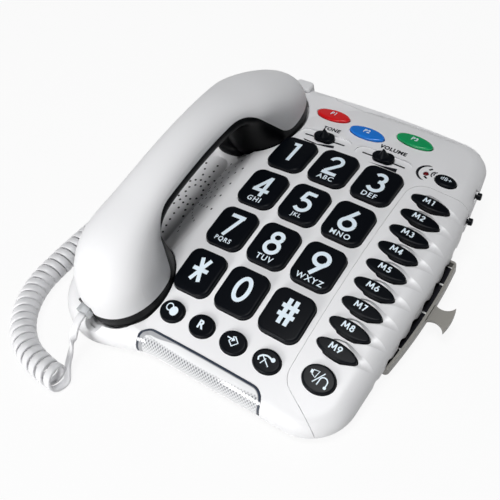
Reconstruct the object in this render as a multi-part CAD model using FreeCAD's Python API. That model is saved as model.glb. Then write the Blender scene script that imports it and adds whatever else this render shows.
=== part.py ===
import FreeCAD, Part
import math
import os

# A corded desk telephone with large keys, in millimetres.
# Most pieces are drawn in the deck frame: its Z is square to the keypad, its
# origin is on the deck's surface at the middle of the twelve keys. The deck
# frame is tilted and lifted into the desk frame, where Z is up.

V = FreeCAD.Vector

# How the deck stands on the desk
deck_tilt = 8.0
deck_height = 45.0
centre_x = 5.48
centre_y = -7.12
desk_clearance = 3.0

# The crowned deck
deck_radius_x = 562.0
deck_radius_y = 514.0
edge_radius = 12.0
rim_z = -24.0
wall = 2.4
deepest = -90.0

# Plan of the body, seen square to the deck
front_y = -105.0
back_y = 123.8
front_corner_radius = 28.0
back_corner_radius = 24.0
left_back_radius = 30.0
side_bulge_radius = 480.0
right_front_x = 86.6
right_bulge_x = 90.6
right_bulge_y = 28.0
right_back_x = 78.5
left_x = -115.5
left_bulge_x = -117.5
left_back_x = -109.0
lobe_radius = 38.5
lobe_corner_y = -129.0
lobe_join_x = -36.9
lobe_join_radius = 60.0

# Cradle
handset_x = -69.5
shoulder_z = -9.5
shoulder_top_x = -51.0
shoulder_run = 21.0
shoulder_drop = 2.5
shoulder_step = 0.03
cradle_gap = 0.9
seat_gap = 0.3
valley_floor_z = -23.0
valley_floor = (-98.0, -80.0, -40.0, 44.0)
valley_mouth = (-108.0, -53.0, -58.0, 56.0)
valley_corner = 8.0
valley_mouth_corner = 14.0
crest_radius = 24.0
cord_channel_x = -74.0
cord_channel_radius = 7.0
cord_channel_z = -7.8
rest_tab = (-70.5, -56.5, 112.5, 122.6, -6.6)
rest_tab_edge = 2.0

# Keypad
key_pitch_x = 31.0
key_pitch_y = 35.0
key_width = 26.4
key_length = 29.2
key_corner = 6.5
key_proud = 3.4
key_gap = 0.45
key_edge = 1.5
key_travel = 2.0
flange = 1.2
flange_thick = 2.4
under_wall_gap = 0.3
stem_radius = 2.6
stem_gap = 0.3

# Oval keys
function_key_size = (16.8, 13.6)
function_key_x = (-32.4, -10.1, 12.2, 34.9)
function_key_y = -80.5
memory_key_size = (25.2, 9.2)
memory_key_turn = -3.0
memory_key_x = 65.2
memory_first = 56.1
memory_pitch = 14.1
speaker_key_size = (19.2, 15.6)
speaker_key_at = (64.6, -75.0)
boost_key_size = (14.2, 9.6)
boost_key_at = (64.6, 78.5)
speed_key_size = (26.0, 11.0)
speed_key_at = ((-29.2, 101.6), (1.2, 94.0), (31.8, 102.4))
oval_proud = 1.9
oval_edge = 1.2

# Memory key panel, light lens and rear strip, laid flush in the deck
inlay_thick = 2.2
inlay_floor = 2.0
scallop_radius = 7.0
scallop_depth = 1.4
scallop_fade = 1.44
scallop_lean = 80.0
seam = 0.2
panel_left_x = 48.0
panel_back_y = 68.8
panel_front_y = -84.0
panel_front_slope = 0.58
panel_corner = 12.0
lens_left_x = -44.0
lens_right_x = 43.0
lens_back_y = -94.6
lens_corner = 8.0
lens_foot = 2.2
strip_left_x = -36.6
strip_right_x = 54.3
strip_front_y = 117.0

# Slide controls
slider_y = 77.6
slider_x = 22.0
recess_length = 40.0
recess_width = 11.0
recess_depth = 1.2
slit_width = 1.4
slit_spare = 4.0
slider_travel = 9.0
slider_neck = 5.0
slider_plate = (10.0, 5.2, 1.4)
knob_length = 15.0
knob_width = 9.0
knob_height = 2.6
knob_edge = 0.8
pointer_height = 7.6
pointer_radius = 3.4
pointer_tip = 0.6
slider_gap = 0.3
control_size = (30.0, 8.0, 3.0)

# Side switches
side_knob_y = (63.5, 84.0)
side_knob_z = -19.6
side_knob_radius = 2.3
side_knob_proud = 2.6
side_neck_radius = 1.2
side_slot_height = 3.2
side_slot_spare = 0.6
side_travel = 2.6
side_gap = 0.8
side_plate = (1.2, 6.0, 4.2)
side_switch = (5.4, 11.0, 2.6)
side_play = 0.8

# Electronics inside
board_top_z = -21.0
board_thick = 1.6
board_edge = (-40.5, 78.0, -99.0, 110.0)
board_inset = 6.0
mat_thick = 1.2
post_radius = 2.6
pin_radius = 1.1
pin_gap = 0.15
stake_radius = 2.2
stake_thick = 0.8
post_at = ((-15.5, 0.0), (15.5, 0.0), (-15.5, -35.2), (15.5, -35.2), (-15.5, 35.2), (15.5, 35.2))
led_radius = 1.7
led_at = (51.2, 78.8)
lens_leds = 4
lens_led_pitch = 20.0
lens_led_radius = 1.5
lens_led_y = -97.0
lens_led_top = -14.5
speaker_radius = 17.0
speaker_depth = 7.0
speaker_x = -67.5
speaker_y = 4.0
magnet_depth = 6.0
plunger_radius = 4.5
plunger_at = (-69.5, 66.0)
plunger_rise = 6.0
plunger_gap = 0.4
plunger_collar = 2.0
hook_switch_size = (16.0, 12.0, 6.0)

# Index card drawer
tray_inner_x = 26.0
tray_outer = ((89.4, -47.0), (93.6, -6.0), (92.9, 36.0))
tray_top_z = -24.4
tray_depth = 6.4
tray_wall = 1.6
tray_corner = 2.6
tray_gap = 0.4
tray_push = 3.0
tab_reach = 11.5
tab_root = 14.0
tab_waist = 9.0
tab_tip = 18.0
tab_y = -1.0
tab_thick = 2.2
tab_drop = 2.0
card_thick = 0.6
card_gap = 0.5
rail = 2.0
rail_shelf = 4.0

# Lower casing
lower_inset = 0.6
lower_draft = 15.0
lower_depth = 42.0
foot_radius = 7.0
foot_height = 4.0
foot_at = ((-84.0, -66.0), (60.0, -70.0), (-80.0, 88.0), (54.0, 90.0))
boss_radius = 4.2
screw_radius = 1.5
screw_head_radius = 2.9
screw_head = 2.0
screw_seat_depth = 7.0
screw_gap = 0.2
screw_at = ((-88.0, -86.0), (-90.0, 104.0), (66.0, -94.0), (66.0, 106.0))

# Sockets and plugs
socket_y = 84.0
socket_z = -36.0
socket_face_x = -108.2
socket_size = (16.0, 14.0, 12.0)
plug_size = (12.0, 7.6, 6.2)
plug_gap = 0.2
plug_out = 4.0
line_socket_x = 20.0
line_socket_y = 116.5
line_socket_z = -46.0
line_plug = 10.5
jack_x = -75.5
jack_z = 0.8
jack_size = (11.5, 13.0, 9.6)
jack_face_y = -105.6

# Handset
grip_wall = 2.4
mouth_pivot = (-41.0, 19.0)
ear_pivot = (34.0, 19.0)
corner_reach = 6.5
parting_z = -5.0
mouth_foot_z = -15.0
ear_foot_z = -16.0
cap_half_width = 26.6
mouth_half_length = 31.4
ear_half_length = 34.3
mouth_middle = -75.8
ear_middle = 77.8
receiver_radius = 16.0
receiver_thick = 7.0
microphone_radius = 5.0
microphone_thick = 5.0
sound_hole = 1.2

# Cord
cord_width = 5.0
coil_width = 17.0

here = "parts"
os.makedirs(here, exist_ok=True)


def into_desk_frame(shape):
    """Tilt a shape out of the deck frame and lift it to its place on the desk."""
    moved = shape.copy()
    moved.rotate(V(0, 0, 0), V(1, 0, 0), deck_tilt)
    moved.translate(V(centre_x, centre_y, deck_height))
    return moved


def save(name, shape):
    """Write one piece that is drawn in the deck frame."""
    into_desk_frame(shape).exportStep(f"{here}/{name}.step")


def save_standing(name, shape):
    """Write one piece that is already drawn in the desk frame."""
    shape.exportStep(f"{here}/{name}.step")


def rounded_edges(corners, closed=True):
    """Lines through the corners, each corner rounded by an arc tangent to both sides."""
    count = len(corners)
    arcs = []
    for i, (x, y, radius) in enumerate(corners):
        corner = V(x, y, 0)
        if radius == 0 or (not closed and i in (0, count - 1)):
            arcs.append((corner, None, corner))
            continue
        before = V(*corners[i - 1][:2], 0) - corner
        after = V(*corners[(i + 1) % count][:2], 0) - corner
        before.normalize()
        after.normalize()
        half = before.getAngle(after) / 2
        reach = radius / math.tan(half)
        inward = (before + after).normalize()
        middle = corner + inward * (radius / math.sin(half) - radius)
        arcs.append((corner + before * reach, middle, corner + after * reach))
    edges = []
    for i, (start, middle, end) in enumerate(arcs):
        if middle is not None:
            edges.append(Part.Arc(start, middle, end).toShape())
        if closed or i < count - 1:
            following = arcs[(i + 1) % count][0]
            if end.distanceToPoint(following) > 1e-6:
                edges.append(Part.LineSegment(end, following).toShape())
    return edges


def rounded_outline(corners):
    """A closed outline with rounded corners, in the plane Z = 0."""
    return Part.Wire(rounded_edges(corners))


def rounded_rectangle(x0, x1, y0, y1, radius):
    """A closed rectangle with four equal round corners."""
    return rounded_outline([(x0, y0, radius), (x1, y0, radius), (x1, y1, radius), (x0, y1, radius)])


def oval(size, at, turn=0.0, grow=0.0):
    """An elliptical outline, its long side turned by an angle from X."""
    long_side = size[0] / 2 + grow
    short_side = size[1] / 2 + grow
    quarter = 90.0 if short_side > long_side else 0.0
    curve = Part.Ellipse(V(0, 0, 0), max(long_side, short_side), min(long_side, short_side))
    wire = Part.Wire([curve.toShape()])
    wire.rotate(V(0, 0, 0), V(0, 0, 1), turn + quarter)
    wire.translate(V(at[0], at[1], 0))
    return wire


def stadium(length, width, at):
    """A slot-shaped outline along X with half-round ends."""
    radius = width / 2
    x0 = at[0] - length / 2 + radius
    x1 = at[0] + length / 2 - radius
    low = at[1] - radius
    high = at[1] + radius
    return Part.Wire([
        Part.LineSegment(V(x0, low, 0), V(x1, low, 0)).toShape(),
        Part.Arc(V(x1, low, 0), V(x1 + radius, at[1], 0), V(x1, high, 0)).toShape(),
        Part.LineSegment(V(x1, high, 0), V(x0, high, 0)).toShape(),
        Part.Arc(V(x0, high, 0), V(x0 - radius, at[1], 0), V(x0, low, 0)).toShape(),
    ])


def prism(wire, low, high):
    """A straight solid over an outline, between two heights."""
    face = Part.Face(wire)
    face.translate(V(0, 0, low))
    return face.extrude(V(0, 0, high - low))


def disc(radius, x, y, low, high):
    """An upright round solid."""
    return Part.makeCylinder(radius, high - low, V(x, y, low))


def block(x0, x1, y0, y1, z0, z1):
    """A plain box between six planes."""
    return Part.makeBox(x1 - x0, y1 - y0, z1 - z0, V(x0, y0, z0))


def crown(offset):
    """The space under the crowned deck: an arc across, turned about an axis far below."""
    left = -160.0
    right = 130.0
    radius = deck_radius_x + offset
    heights = [math.sqrt(radius ** 2 - x ** 2) - deck_radius_x for x in (left, 0.0, right)]
    ends = (V(left, 0, heights[0]), V(0, 0, heights[1]), V(right, 0, heights[2]))
    arc = Part.Arc(*ends).toShape()
    sides = Part.makePolygon([ends[2], V(right, 0, deepest), V(left, 0, deepest), ends[0]])
    face = Part.Face(Part.Wire([arc] + sides.Edges))
    swing = 17.0
    axis = V(0, 0, -deck_radius_y)
    face.rotate(axis, V(1, 0, 0), -swing)
    return face.revolve(axis, V(1, 0, 0), 2 * swing)


def deck_z(x, y):
    """Height of the deck's surface over a point of its plan."""
    arc = math.sqrt(deck_radius_x ** 2 - x ** 2) - deck_radius_x
    return math.sqrt((deck_radius_y + arc) ** 2 - y ** 2) - deck_radius_y


def body_outline(inset=0.0):
    """Plan of the body: a slab with gently bulging sides and a round lobe under the mouthpiece."""
    wire = rounded_outline([
        (right_front_x, front_y, front_corner_radius),
        (right_bulge_x, right_bulge_y, side_bulge_radius),
        (right_back_x, back_y, back_corner_radius),
        (left_back_x, back_y, left_back_radius),
        (left_bulge_x, right_bulge_y, side_bulge_radius),
        (left_x, lobe_corner_y, lobe_radius),
        (lobe_join_x, front_y, lobe_join_radius),
    ])
    if inset:
        wire = wire.makeOffset2D(-inset)
    return wire


def upper_edges(solid, low):
    """Edges that run round the top of an upright solid, above a height."""
    found = []
    for edge in solid.Edges:
        box = edge.BoundBox
        upright = box.XLength < 0.01 and box.YLength < 0.01
        if box.ZMin > low and not upright:
            found.append(edge)
    return found


def body_form(inset, foot):
    """The upper casing as a full solid: crowned deck and flat cradle shoulder, both round-edged."""
    radius = edge_radius - inset
    column = prism(body_outline(inset), deepest + 10.0, 20.0)
    deck = column.common(crown(-inset))
    deck = deck.makeFillet(radius, upper_edges(deck, -40.0))
    flat = prism(body_outline(inset - shoulder_step), deepest + 10.0, shoulder_z - inset)
    flat = flat.makeFillet(radius, upper_edges(flat, -40.0))
    high = 30.0
    flank = [
        V(-200, -200, deepest),
        V(200, -200, deepest),
        V(200, -200, shoulder_z - inset - (200 - shoulder_top_x) * shoulder_drop / shoulder_run),
        V(shoulder_top_x, -200, shoulder_z - inset),
        V(shoulder_top_x, -200, high),
        V(-200, -200, high),
    ]
    side = Part.Face(Part.makePolygon(flank + flank[:1])).extrude(V(0, 400, 0))
    form = deck.fuse(flat.common(side))
    return form.common(block(-200, 200, -200, 200, foot, 60.0))


def skin_of(rings):
    """A solid over closed rings of control points, smooth along and around, with flat ends."""
    around = len(rings[0])
    along = len(rings)
    poles = [[ring[i] for ring in rings] for i in range(around)]
    ring_mults = [1] * (around + 1)
    row_mults = [4] + [1] * (along - 4) + [4]
    surface = Part.BSplineSurface()
    surface.buildFromPolesMultsKnots(
        poles, ring_mults, row_mults, list(range(around + 1)), list(range(along - 2)),
        True, False, 3, 3)
    side = surface.toShape()
    ends = [Part.Face(Part.Wire([edge])) for edge in side.Edges if edge.isClosed()]
    shell = Part.Shell([side] + ends)
    shell.sewShape()
    solid = Part.makeSolid(shell)
    if solid.Volume < 0:
        solid.reverse()
    return solid


def handset_ring(inner, outer, half_width, fullness, inset):
    """Control points of one section, in the plane of X and the line from inner to outer."""
    steps = 20
    swell = 1 / (2 / 3 + math.cos(2 * math.pi / steps) / 3)
    axis = V(0, outer[0] - inner[0], outer[1] - inner[1])
    deep = (axis.Length / 2 - inset) * swell
    wide = (half_width - inset) * swell
    axis.normalize()
    middle = V(handset_x, (inner[0] + outer[0]) / 2, (inner[1] + outer[1]) / 2)
    points = []
    for i in range(steps):
        turn = 2 * math.pi * i / steps
        across = math.copysign(abs(math.cos(turn)) ** (2 / fullness), math.cos(turn))
        along = math.copysign(abs(math.sin(turn)) ** (2 / fullness), math.sin(turn))
        points.append(middle + V(wide * across, 0, 0) + axis * (deep * along))
    return points


def fan_point(pivot, angle, distance, side):
    """A point at an angle from upright about a pivot, towards the front or the back."""
    turn = math.radians(angle)
    return (pivot[0] + side * distance * math.sin(turn), pivot[1] + distance * math.cos(turn))


def fan_row(pivot, side, angle, distance, half_width, fullness):
    """One row of the handset's sections, fanned about an inner corner of the grip."""
    near = fan_point(pivot, angle, corner_reach, side)
    far = fan_point(pivot, angle, distance, side)
    return (near, far, half_width, fullness)


# Each row holds the section's inner point (y, z), outer point (y, z), half width and fullness
handset_rows = [
    ((-53.0, mouth_foot_z), (-98.5, mouth_foot_z), 19.5, 2.1),
    ((-47.5, mouth_foot_z), (-104.0, mouth_foot_z), 24.3, 2.1),
    ((-44.8, -11.5), (-106.6, -11.5), 26.2, 2.1),
    ((-44.5, -5.0), (-107.2, -5.0), cap_half_width, 2.1),
    ((-46.5, 7.0), (-107.2, 7.0), cap_half_width, 2.1),
    fan_row(mouth_pivot, -1, 90, 63.0, 26.3, 2.1),
    fan_row(mouth_pivot, -1, 68, 52.4, 23.4, 2.1),
    fan_row(mouth_pivot, -1, 45, 36.4, 19.8, 2.2),
    fan_row(mouth_pivot, -1, 20, 29.6, 17.6, 2.2),
    ((-34.0, 26.0), (-34.0, 50.0), 15.8, 2.2),
    ((-6.0, 26.4), (-6.0, 52.2), 15.2, 2.2),
    ((18.0, 26.0), (18.0, 51.4), 15.4, 2.2),
    fan_row(ear_pivot, 1, 12, 29.0, 17.2, 2.2),
    fan_row(ear_pivot, 1, 38, 29.6, 20.0, 2.2),
    fan_row(ear_pivot, 1, 62, 39.2, 23.2, 2.1),
    fan_row(ear_pivot, 1, 86, 58.8, 25.4, 2.1),
    ((42.6, 9.0), (108.0, 12.0), 26.5, 2.1),
    ((43.6, -4.0), (112.2, -3.0), cap_half_width, 2.1),
    ((45.4, -12.0), (111.0, -12.0), 25.8, 2.1),
    ((49.5, ear_foot_z), (107.6, ear_foot_z), 23.2, 2.1),
    ((54.5, ear_foot_z), (102.5, ear_foot_z), 19.0, 2.1),
]


def handset_form(inset):
    """The whole handset as one solid, or the same form shrunk by a wall."""
    rings = []
    last = len(handset_rows) - 1
    for i, (inner, outer, half_width, fullness) in enumerate(handset_rows):
        ring = handset_ring(inner, outer, half_width, fullness, inset)
        if i in (0, 1, last - 1, last):
            ring = [point + V(0, 0, inset) for point in ring]
        rings.append(ring)
    return skin_of(rings)


def above_parting():
    """The space over the handset's parting line, which follows the grip's underside."""
    line = [
        (-130.0, parting_z, 0),
        (-59.0, parting_z, 10.0),
        (-48.0, 36.8, 12.0),
        (41.0, 37.8, 22.0),
        (66.0, parting_z, 18.0),
        (130.0, parting_z, 0),
    ]
    edges = rounded_edges(line, closed=False)
    closing = Part.makePolygon([V(130, parting_z, 0), V(130, 80, 0), V(-130, 80, 0), V(-130, parting_z, 0)])
    face = Part.Face(Part.Wire(edges + closing.Edges))
    face.rotate(V(0, 0, 0), V(1, 1, 1), 120)
    return face.extrude(V(-140, 0, 0))


# Every key: name, outline kind, size, place and turn
digit_names = ("1", "2", "3", "4", "5", "6", "7", "8", "9", "star", "0", "hash")
function_names = ("mute", "recall", "redial", "flash")
keys = []
for i, digit in enumerate(digit_names):
    arc = (1.5 - i // 3) * key_pitch_y
    at = ((i % 3 - 1) * key_pitch_x, deck_radius_y * math.sin(arc / deck_radius_y))
    keys.append(("key_" + digit, "square", (key_width, key_length), at, 0.0))
for name, x in zip(function_names, function_key_x):
    keys.append(("key_" + name, "oval", function_key_size, (x, function_key_y), 0.0))
for i in range(9):
    arc = memory_first - i * memory_pitch
    at = (memory_key_x, deck_radius_y * math.sin(arc / deck_radius_y))
    keys.append((f"key_m{i + 1}", "oval", memory_key_size, at, memory_key_turn))
keys.append(("key_handsfree", "oval", speaker_key_size, speaker_key_at, 0.0))
keys.append(("key_boost", "oval", boost_key_size, boost_key_at, memory_key_turn))
for i, at in enumerate(speed_key_at):
    keys.append((f"key_p{i + 1}", "oval", speed_key_size, at, memory_key_turn))


def key_outline(kind, size, at, turn, grow):
    """Plan of a key, or of the hole or flange around it."""
    if kind == "oval":
        return oval(size, at, turn, grow)
    across = size[0] / 2 + grow
    along = size[1] / 2 + grow
    return rounded_rectangle(at[0] - across, at[0] + across, at[1] - along, at[1] + along, key_corner + grow)


def in_panel(at):
    """True for a key that comes up through the memory key panel."""
    return at[0] > panel_left_x and at[1] < panel_back_y


# The nested skins of the body, from outside in
mat_top_z = board_top_z + mat_thick
board_low_z = board_top_z - board_thick
inlay_depth = inlay_thick + inlay_floor
skin_outer = body_form(0.0, rim_z)
skin_inlay = body_form(inlay_thick, deepest)
skin_inner = body_form(wall, deepest)
skin_under_inlay = body_form(inlay_depth, deepest)

# Cradle: a well for each end of the handset and a valley for the fingers between them
mouth_plan = ((cap_half_width + cradle_gap) * 2, (mouth_half_length + cradle_gap) * 2)
ear_plan = ((cap_half_width + cradle_gap) * 2, (ear_half_length + cradle_gap) * 2)
mouth_floor_z = mouth_foot_z - seat_gap
ear_floor_z = ear_foot_z - seat_gap


def cradle_space(grow):
    """The room cut out of the casing for the handset, or the same room grown by a wall."""
    top = 12.0
    mouth = prism(oval(mouth_plan, (handset_x, mouth_middle), 0.0, grow), mouth_floor_z - grow, top)
    ear = prism(oval(ear_plan, (handset_x, ear_middle), 0.0, grow), ear_floor_z - grow, top)
    x0, x1, y0, y1 = valley_floor
    low = rounded_rectangle(x0 - grow, x1 + grow, y0 - grow, y1 + grow, valley_corner + grow)
    low.translate(V(0, 0, valley_floor_z - grow))
    x0, x1, y0, y1 = valley_mouth
    rise = -valley_floor_z
    stretch = (rise + top) / rise
    fx0, fx1, fy0, fy1 = valley_floor
    wide = (fx0 + (x0 - fx0) * stretch, fx1 + (x1 - fx1) * stretch,
            fy0 + (y0 - fy0) * stretch, fy1 + (y1 - fy1) * stretch)
    high = rounded_rectangle(wide[0] - grow, wide[1] + grow, wide[2] - grow, wide[3] + grow,
                             valley_corner + (valley_mouth_corner - valley_corner) * stretch + grow)
    high.translate(V(0, 0, top - grow))
    valley = Part.makeLoft([low, high], True, True)
    return mouth, ear, valley


def crest_flare():
    """The soft shoulder where the finger valley's right ramp leaves the deck."""
    run = valley_mouth[1] - valley_floor[1]
    slope = -valley_floor_z / run
    x = valley_mouth[1]
    for _ in range(8):
        x = valley_mouth[1] + deck_z(x, 0.0) / slope
    corner = V(x, 0, deck_z(x, 0.0))
    along_deck = V(math.sqrt(deck_radius_x ** 2 - x ** 2), 0, -x).normalize()
    down_ramp = V(-1.0, 0, -slope).normalize()
    half = along_deck.getAngle(down_ramp) / 2
    reach = crest_radius / math.tan(half)
    right_end = corner + along_deck * reach
    left_end = corner + down_ramp * reach
    middle = corner + (along_deck + down_ramp).normalize() * (crest_radius / math.sin(half) - crest_radius)
    high = right_end.z + 6.0
    arc = Part.Arc(left_end, middle, right_end).toShape()
    lid = Part.makePolygon([right_end, V(right_end.x, 0, high), V(left_end.x, 0, high), left_end])
    face = Part.Face(Part.Wire([arc] + lid.Edges))
    face.translate(V(0, valley_mouth[2], 0))
    return face.extrude(V(0, valley_mouth[3] - valley_mouth[2], 0))


mouth_well, ear_well, valley = cradle_space(0.0)
mouth_liner, ear_liner, valley_liner = cradle_space(wall)
liner_room = cradle_space(wall + under_wall_gap)


def surface_x(solid, y, z):
    """How far right a solid reaches at a height and a place along the body."""
    probe = Part.makeLine(V(0, y, z), V(200, y, z)).common(solid)
    return probe.BoundBox.XMax


def lean(shape, y):
    """Carry a shape from the top of the crown back along the deck's curve."""
    moved = shape.copy()
    moved.rotate(V(0, 0, -deck_radius_y), V(1, 0, 0), -math.degrees(math.asin(y / deck_radius_y)))
    return moved


def floor_z(y, height):
    """Deck-frame height of a level that lies so far above the desk."""
    tilt = math.radians(deck_tilt)
    return (height - deck_height - y * math.sin(tilt)) / math.cos(tilt)


# The raised tab behind the earpiece
tab_x0, tab_x1, tab_y0, tab_y1, tab_top = rest_tab
tab_plan = rounded_rectangle(tab_x0, tab_x1, tab_y0, tab_y1, 3.0)
raised_tab = prism(tab_plan, shoulder_z - 6.0, tab_top)
raised_tab = raised_tab.makeFillet(rest_tab_edge, upper_edges(raised_tab, shoulder_z))
deck_solid = skin_outer.fuse(raised_tab)

# Inlays: their plans, their seats in the casing and the pieces themselves
far = 60.0
panel_reach = right_bulge_x + far
panel_drop = (panel_reach - panel_left_x) * panel_front_slope


def panel_outline(grow):
    """Plan of the memory key panel, which runs out over the right edge of the body."""
    return rounded_outline([
        (panel_left_x - grow, panel_front_y - grow, panel_corner + grow),
        (panel_reach, panel_front_y - panel_drop - grow * 1.2, 0),
        (panel_reach, panel_back_y + grow, 0),
        (panel_left_x - grow, panel_back_y + grow, panel_corner + grow),
    ])


def lens_outline(grow):
    """Plan of the front light lens, which runs out over the front edge of the body."""
    return rounded_outline([
        (lens_left_x - grow, front_y - far, 0),
        (lens_right_x + grow, front_y - far, 0),
        (lens_right_x + grow, lens_back_y + grow, lens_corner + grow),
        (lens_left_x - grow, lens_back_y + grow, lens_corner + grow),
    ])


def strip_outline(grow):
    """Plan of the rear strip, which runs out over the back edge of the body."""
    return rounded_outline([
        (strip_left_x - grow, strip_front_y - grow, 2.0),
        (strip_right_x + grow, strip_front_y - grow, 2.0),
        (strip_right_x + grow, back_y + far, 0),
        (strip_left_x - grow, back_y + far, 0),
    ])


inlays = (
    (panel_outline, rim_z),
    (lens_outline, rim_z + lens_foot),
    (strip_outline, rim_z + lens_foot),
)
inlay_shapes = []
seats = []
ledges = []
for outline, low in inlays:
    above = prism(outline(0.0), low, 20.0)
    inlay_shapes.append(skin_outer.common(above).cut(skin_inlay))
    lower = low if low == rim_z else low - seam
    seats.append(prism(outline(seam), lower, 20.0).cut(skin_inlay))
    ledges.append(prism(outline(inlay_floor), rim_z, 20.0).cut(skin_under_inlay))
memory_panel, light_lens, rear_panel = inlay_shapes

# Nine shallow scallops that fade down the panel's right edge, one beside each memory key
scallops = []
for i in range(9):
    y = deck_radius_y * math.sin((memory_first - i * memory_pitch) / deck_radius_y)
    middle_x = surface_x(skin_outer, y, rim_z + 0.5) - edge_radius
    fade = math.radians(scallop_lean)
    middle = V(middle_x + scallop_fade * math.sin(fade), y,
               deck_z(middle_x, y) - edge_radius + scallop_fade * math.cos(fade))
    sweep = edge_radius - scallop_depth + scallop_radius
    scallops.append(Part.makeTorus(sweep, scallop_radius, middle, V(0, 1, 0)))
memory_panel = memory_panel.cut(scallops)

# Hollow of the upper casing, with thicker walls under the inlays and round the cradle
hollow = skin_inner
for ledge in ledges:
    hollow = hollow.cut(ledge)
lowest = valley_floor_z - wall - 1.0
liners = mouth_liner.fuse([ear_liner, valley_liner]).common(body_form(0.0, lowest))
hollow = hollow.cut(liners)
casing = deck_solid.cut(hollow)
casing = casing.fuse(liners.common(block(-200, 200, -200, 200, lowest, rim_z)))

# Screw posts and board posts under the deck
posts = [disc(boss_radius, x, y, rim_z, shoulder_z) for x, y in screw_at]
for x, y in post_at:
    posts.append(disc(post_radius, x, y, board_top_z, deck_z(x, y) - wall / 2))
    posts.append(disc(pin_radius, x, y, board_low_z, board_top_z))
    posts.append(disc(stake_radius, x, y, board_low_z - stake_thick, board_low_z))
casing = casing.fuse([post.common(skin_outer) for post in posts])

# Openings in the upper casing
screw_tip_z = mouth_floor_z - wall - 1.6
casing = casing.cut([valley, crest_flare(), mouth_well, ear_well])
casing = casing.cut(seats)
channel_end = V(cord_channel_x, mouth_middle, cord_channel_z)
cuts = [Part.makeCylinder(cord_channel_radius, 60.0, channel_end, V(0, -1, 0))]
for x, y in screw_at:
    cuts.append(disc(screw_radius + screw_gap / 2, x, y, rim_z - 1.0, screw_tip_z + 0.6))
cuts.append(disc(plunger_radius + plunger_gap, *plunger_at, ear_floor_z - wall - 1.0, ear_floor_z + 1.0))
cuts.append(disc(led_radius + 0.2, *led_at, -16.0, 0.0))
for i in range(lens_leds):
    x = (i - (lens_leds - 1) / 2) * lens_led_pitch
    cuts.append(disc(lens_led_radius + 0.3, x, lens_led_y, -17.0, -8.0))

# Slide controls, built at the top of the crown and carried back along it
sliders = []
for side in (-1, 1):
    x = side * slider_x
    inner_x = slider_x - slider_travel - knob_length / 2
    crown_top = deck_z(inner_x, 0.0)
    recess = prism(stadium(recess_length, recess_width, (x, 0)), -8.0, 6.0).cut(crown(-recess_depth))
    slit_length = slider_neck + 2 * (slider_travel + slit_spare)
    slit = prism(stadium(slit_length, slit_width, (x, 0)), -8.0, 6.0)
    cuts.append(lean(recess, slider_y))
    cuts.append(lean(slit, slider_y))
    seat_z = crown_top - recess_depth + slider_gap
    knob = prism(stadium(knob_length, knob_width, (x, 0)), seat_z, seat_z + knob_height)
    knob = knob.makeFillet(knob_edge, upper_edges(knob, seat_z + knob_height - 0.1))
    pointer_low = V(x, 0, seat_z + knob_height - 0.01)
    pointer = Part.makeCone(pointer_radius, pointer_tip, pointer_height - knob_height, pointer_low)
    under_z = deck_z(slider_x + slider_travel + knob_length / 2, 0.0) - wall - slider_gap
    half_neck = slit_width / 2 - slider_gap
    neck = block(x - slider_neck / 2, x + slider_neck / 2, -half_neck, half_neck, under_z - 6.0, seat_z + 0.5)
    plate_x, plate_y, plate_z = (size / 2 for size in slider_plate)
    plate = block(x - plate_x, x + plate_x, -plate_y, plate_y, under_z - 2 * plate_z, under_z)
    sliders.append(lean(knob.fuse([pointer, neck, plate]), slider_y))

# Side switches, square to the right wall, their inner parts clear of its rounded top
side_turn = math.degrees(math.atan2(right_bulge_x - right_back_x, back_y - right_bulge_y))
side_slot_length = 2 * (side_neck_radius + side_travel + side_slot_spare)
side_knobs = []
side_slots = []
switch_boxes = []
for y in side_knob_y:
    wall_x = surface_x(skin_outer, y, side_knob_z)
    depth = inlay_depth if y < panel_back_y else wall
    origin = V(wall_x, y, side_knob_z)
    slot = block(-8.0, 3.0, -side_slot_length / 2, side_slot_length / 2,
                 -side_slot_height / 2, side_slot_height / 2)
    head = Part.makeCylinder(side_knob_radius, side_knob_proud, V(side_gap, 0, 0), V(1, 0, 0))
    head = head.makeFillet(0.7, [edge for edge in head.Edges if edge.BoundBox.XMin > side_gap + 1])
    neck = Part.makeCylinder(side_neck_radius, depth + 3.5 + side_gap, V(side_gap + 0.1, 0, 0), V(-1, 0, 0))
    thick, along, high = side_plate
    plate = block(-depth - side_play - thick, -depth - side_play, -along / 2, along / 2, -high / 2, high / 2)
    deep, long_side, high = side_switch
    body = block(-depth - 3.6 - deep, -depth - 3.6, -long_side / 2, long_side / 2,
                 board_top_z - side_knob_z, high)
    for shape in (slot, head, neck, plate, body):
        shape.rotate(V(0, 0, 0), V(0, 0, 1), side_turn)
        shape.translate(origin)
    room = body_form(depth + side_play, deepest)
    side_slots.append(slot)
    side_knobs.append(head.fuse([neck, plate.common(room)]))
    switch_boxes.append(body.common(room).common(block(-200, 200, -200, 200, board_top_z, 0)))
cuts.extend(side_slots)
memory_panel = memory_panel.cut(side_slots[0])
casing = casing.cut(cuts)

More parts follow.
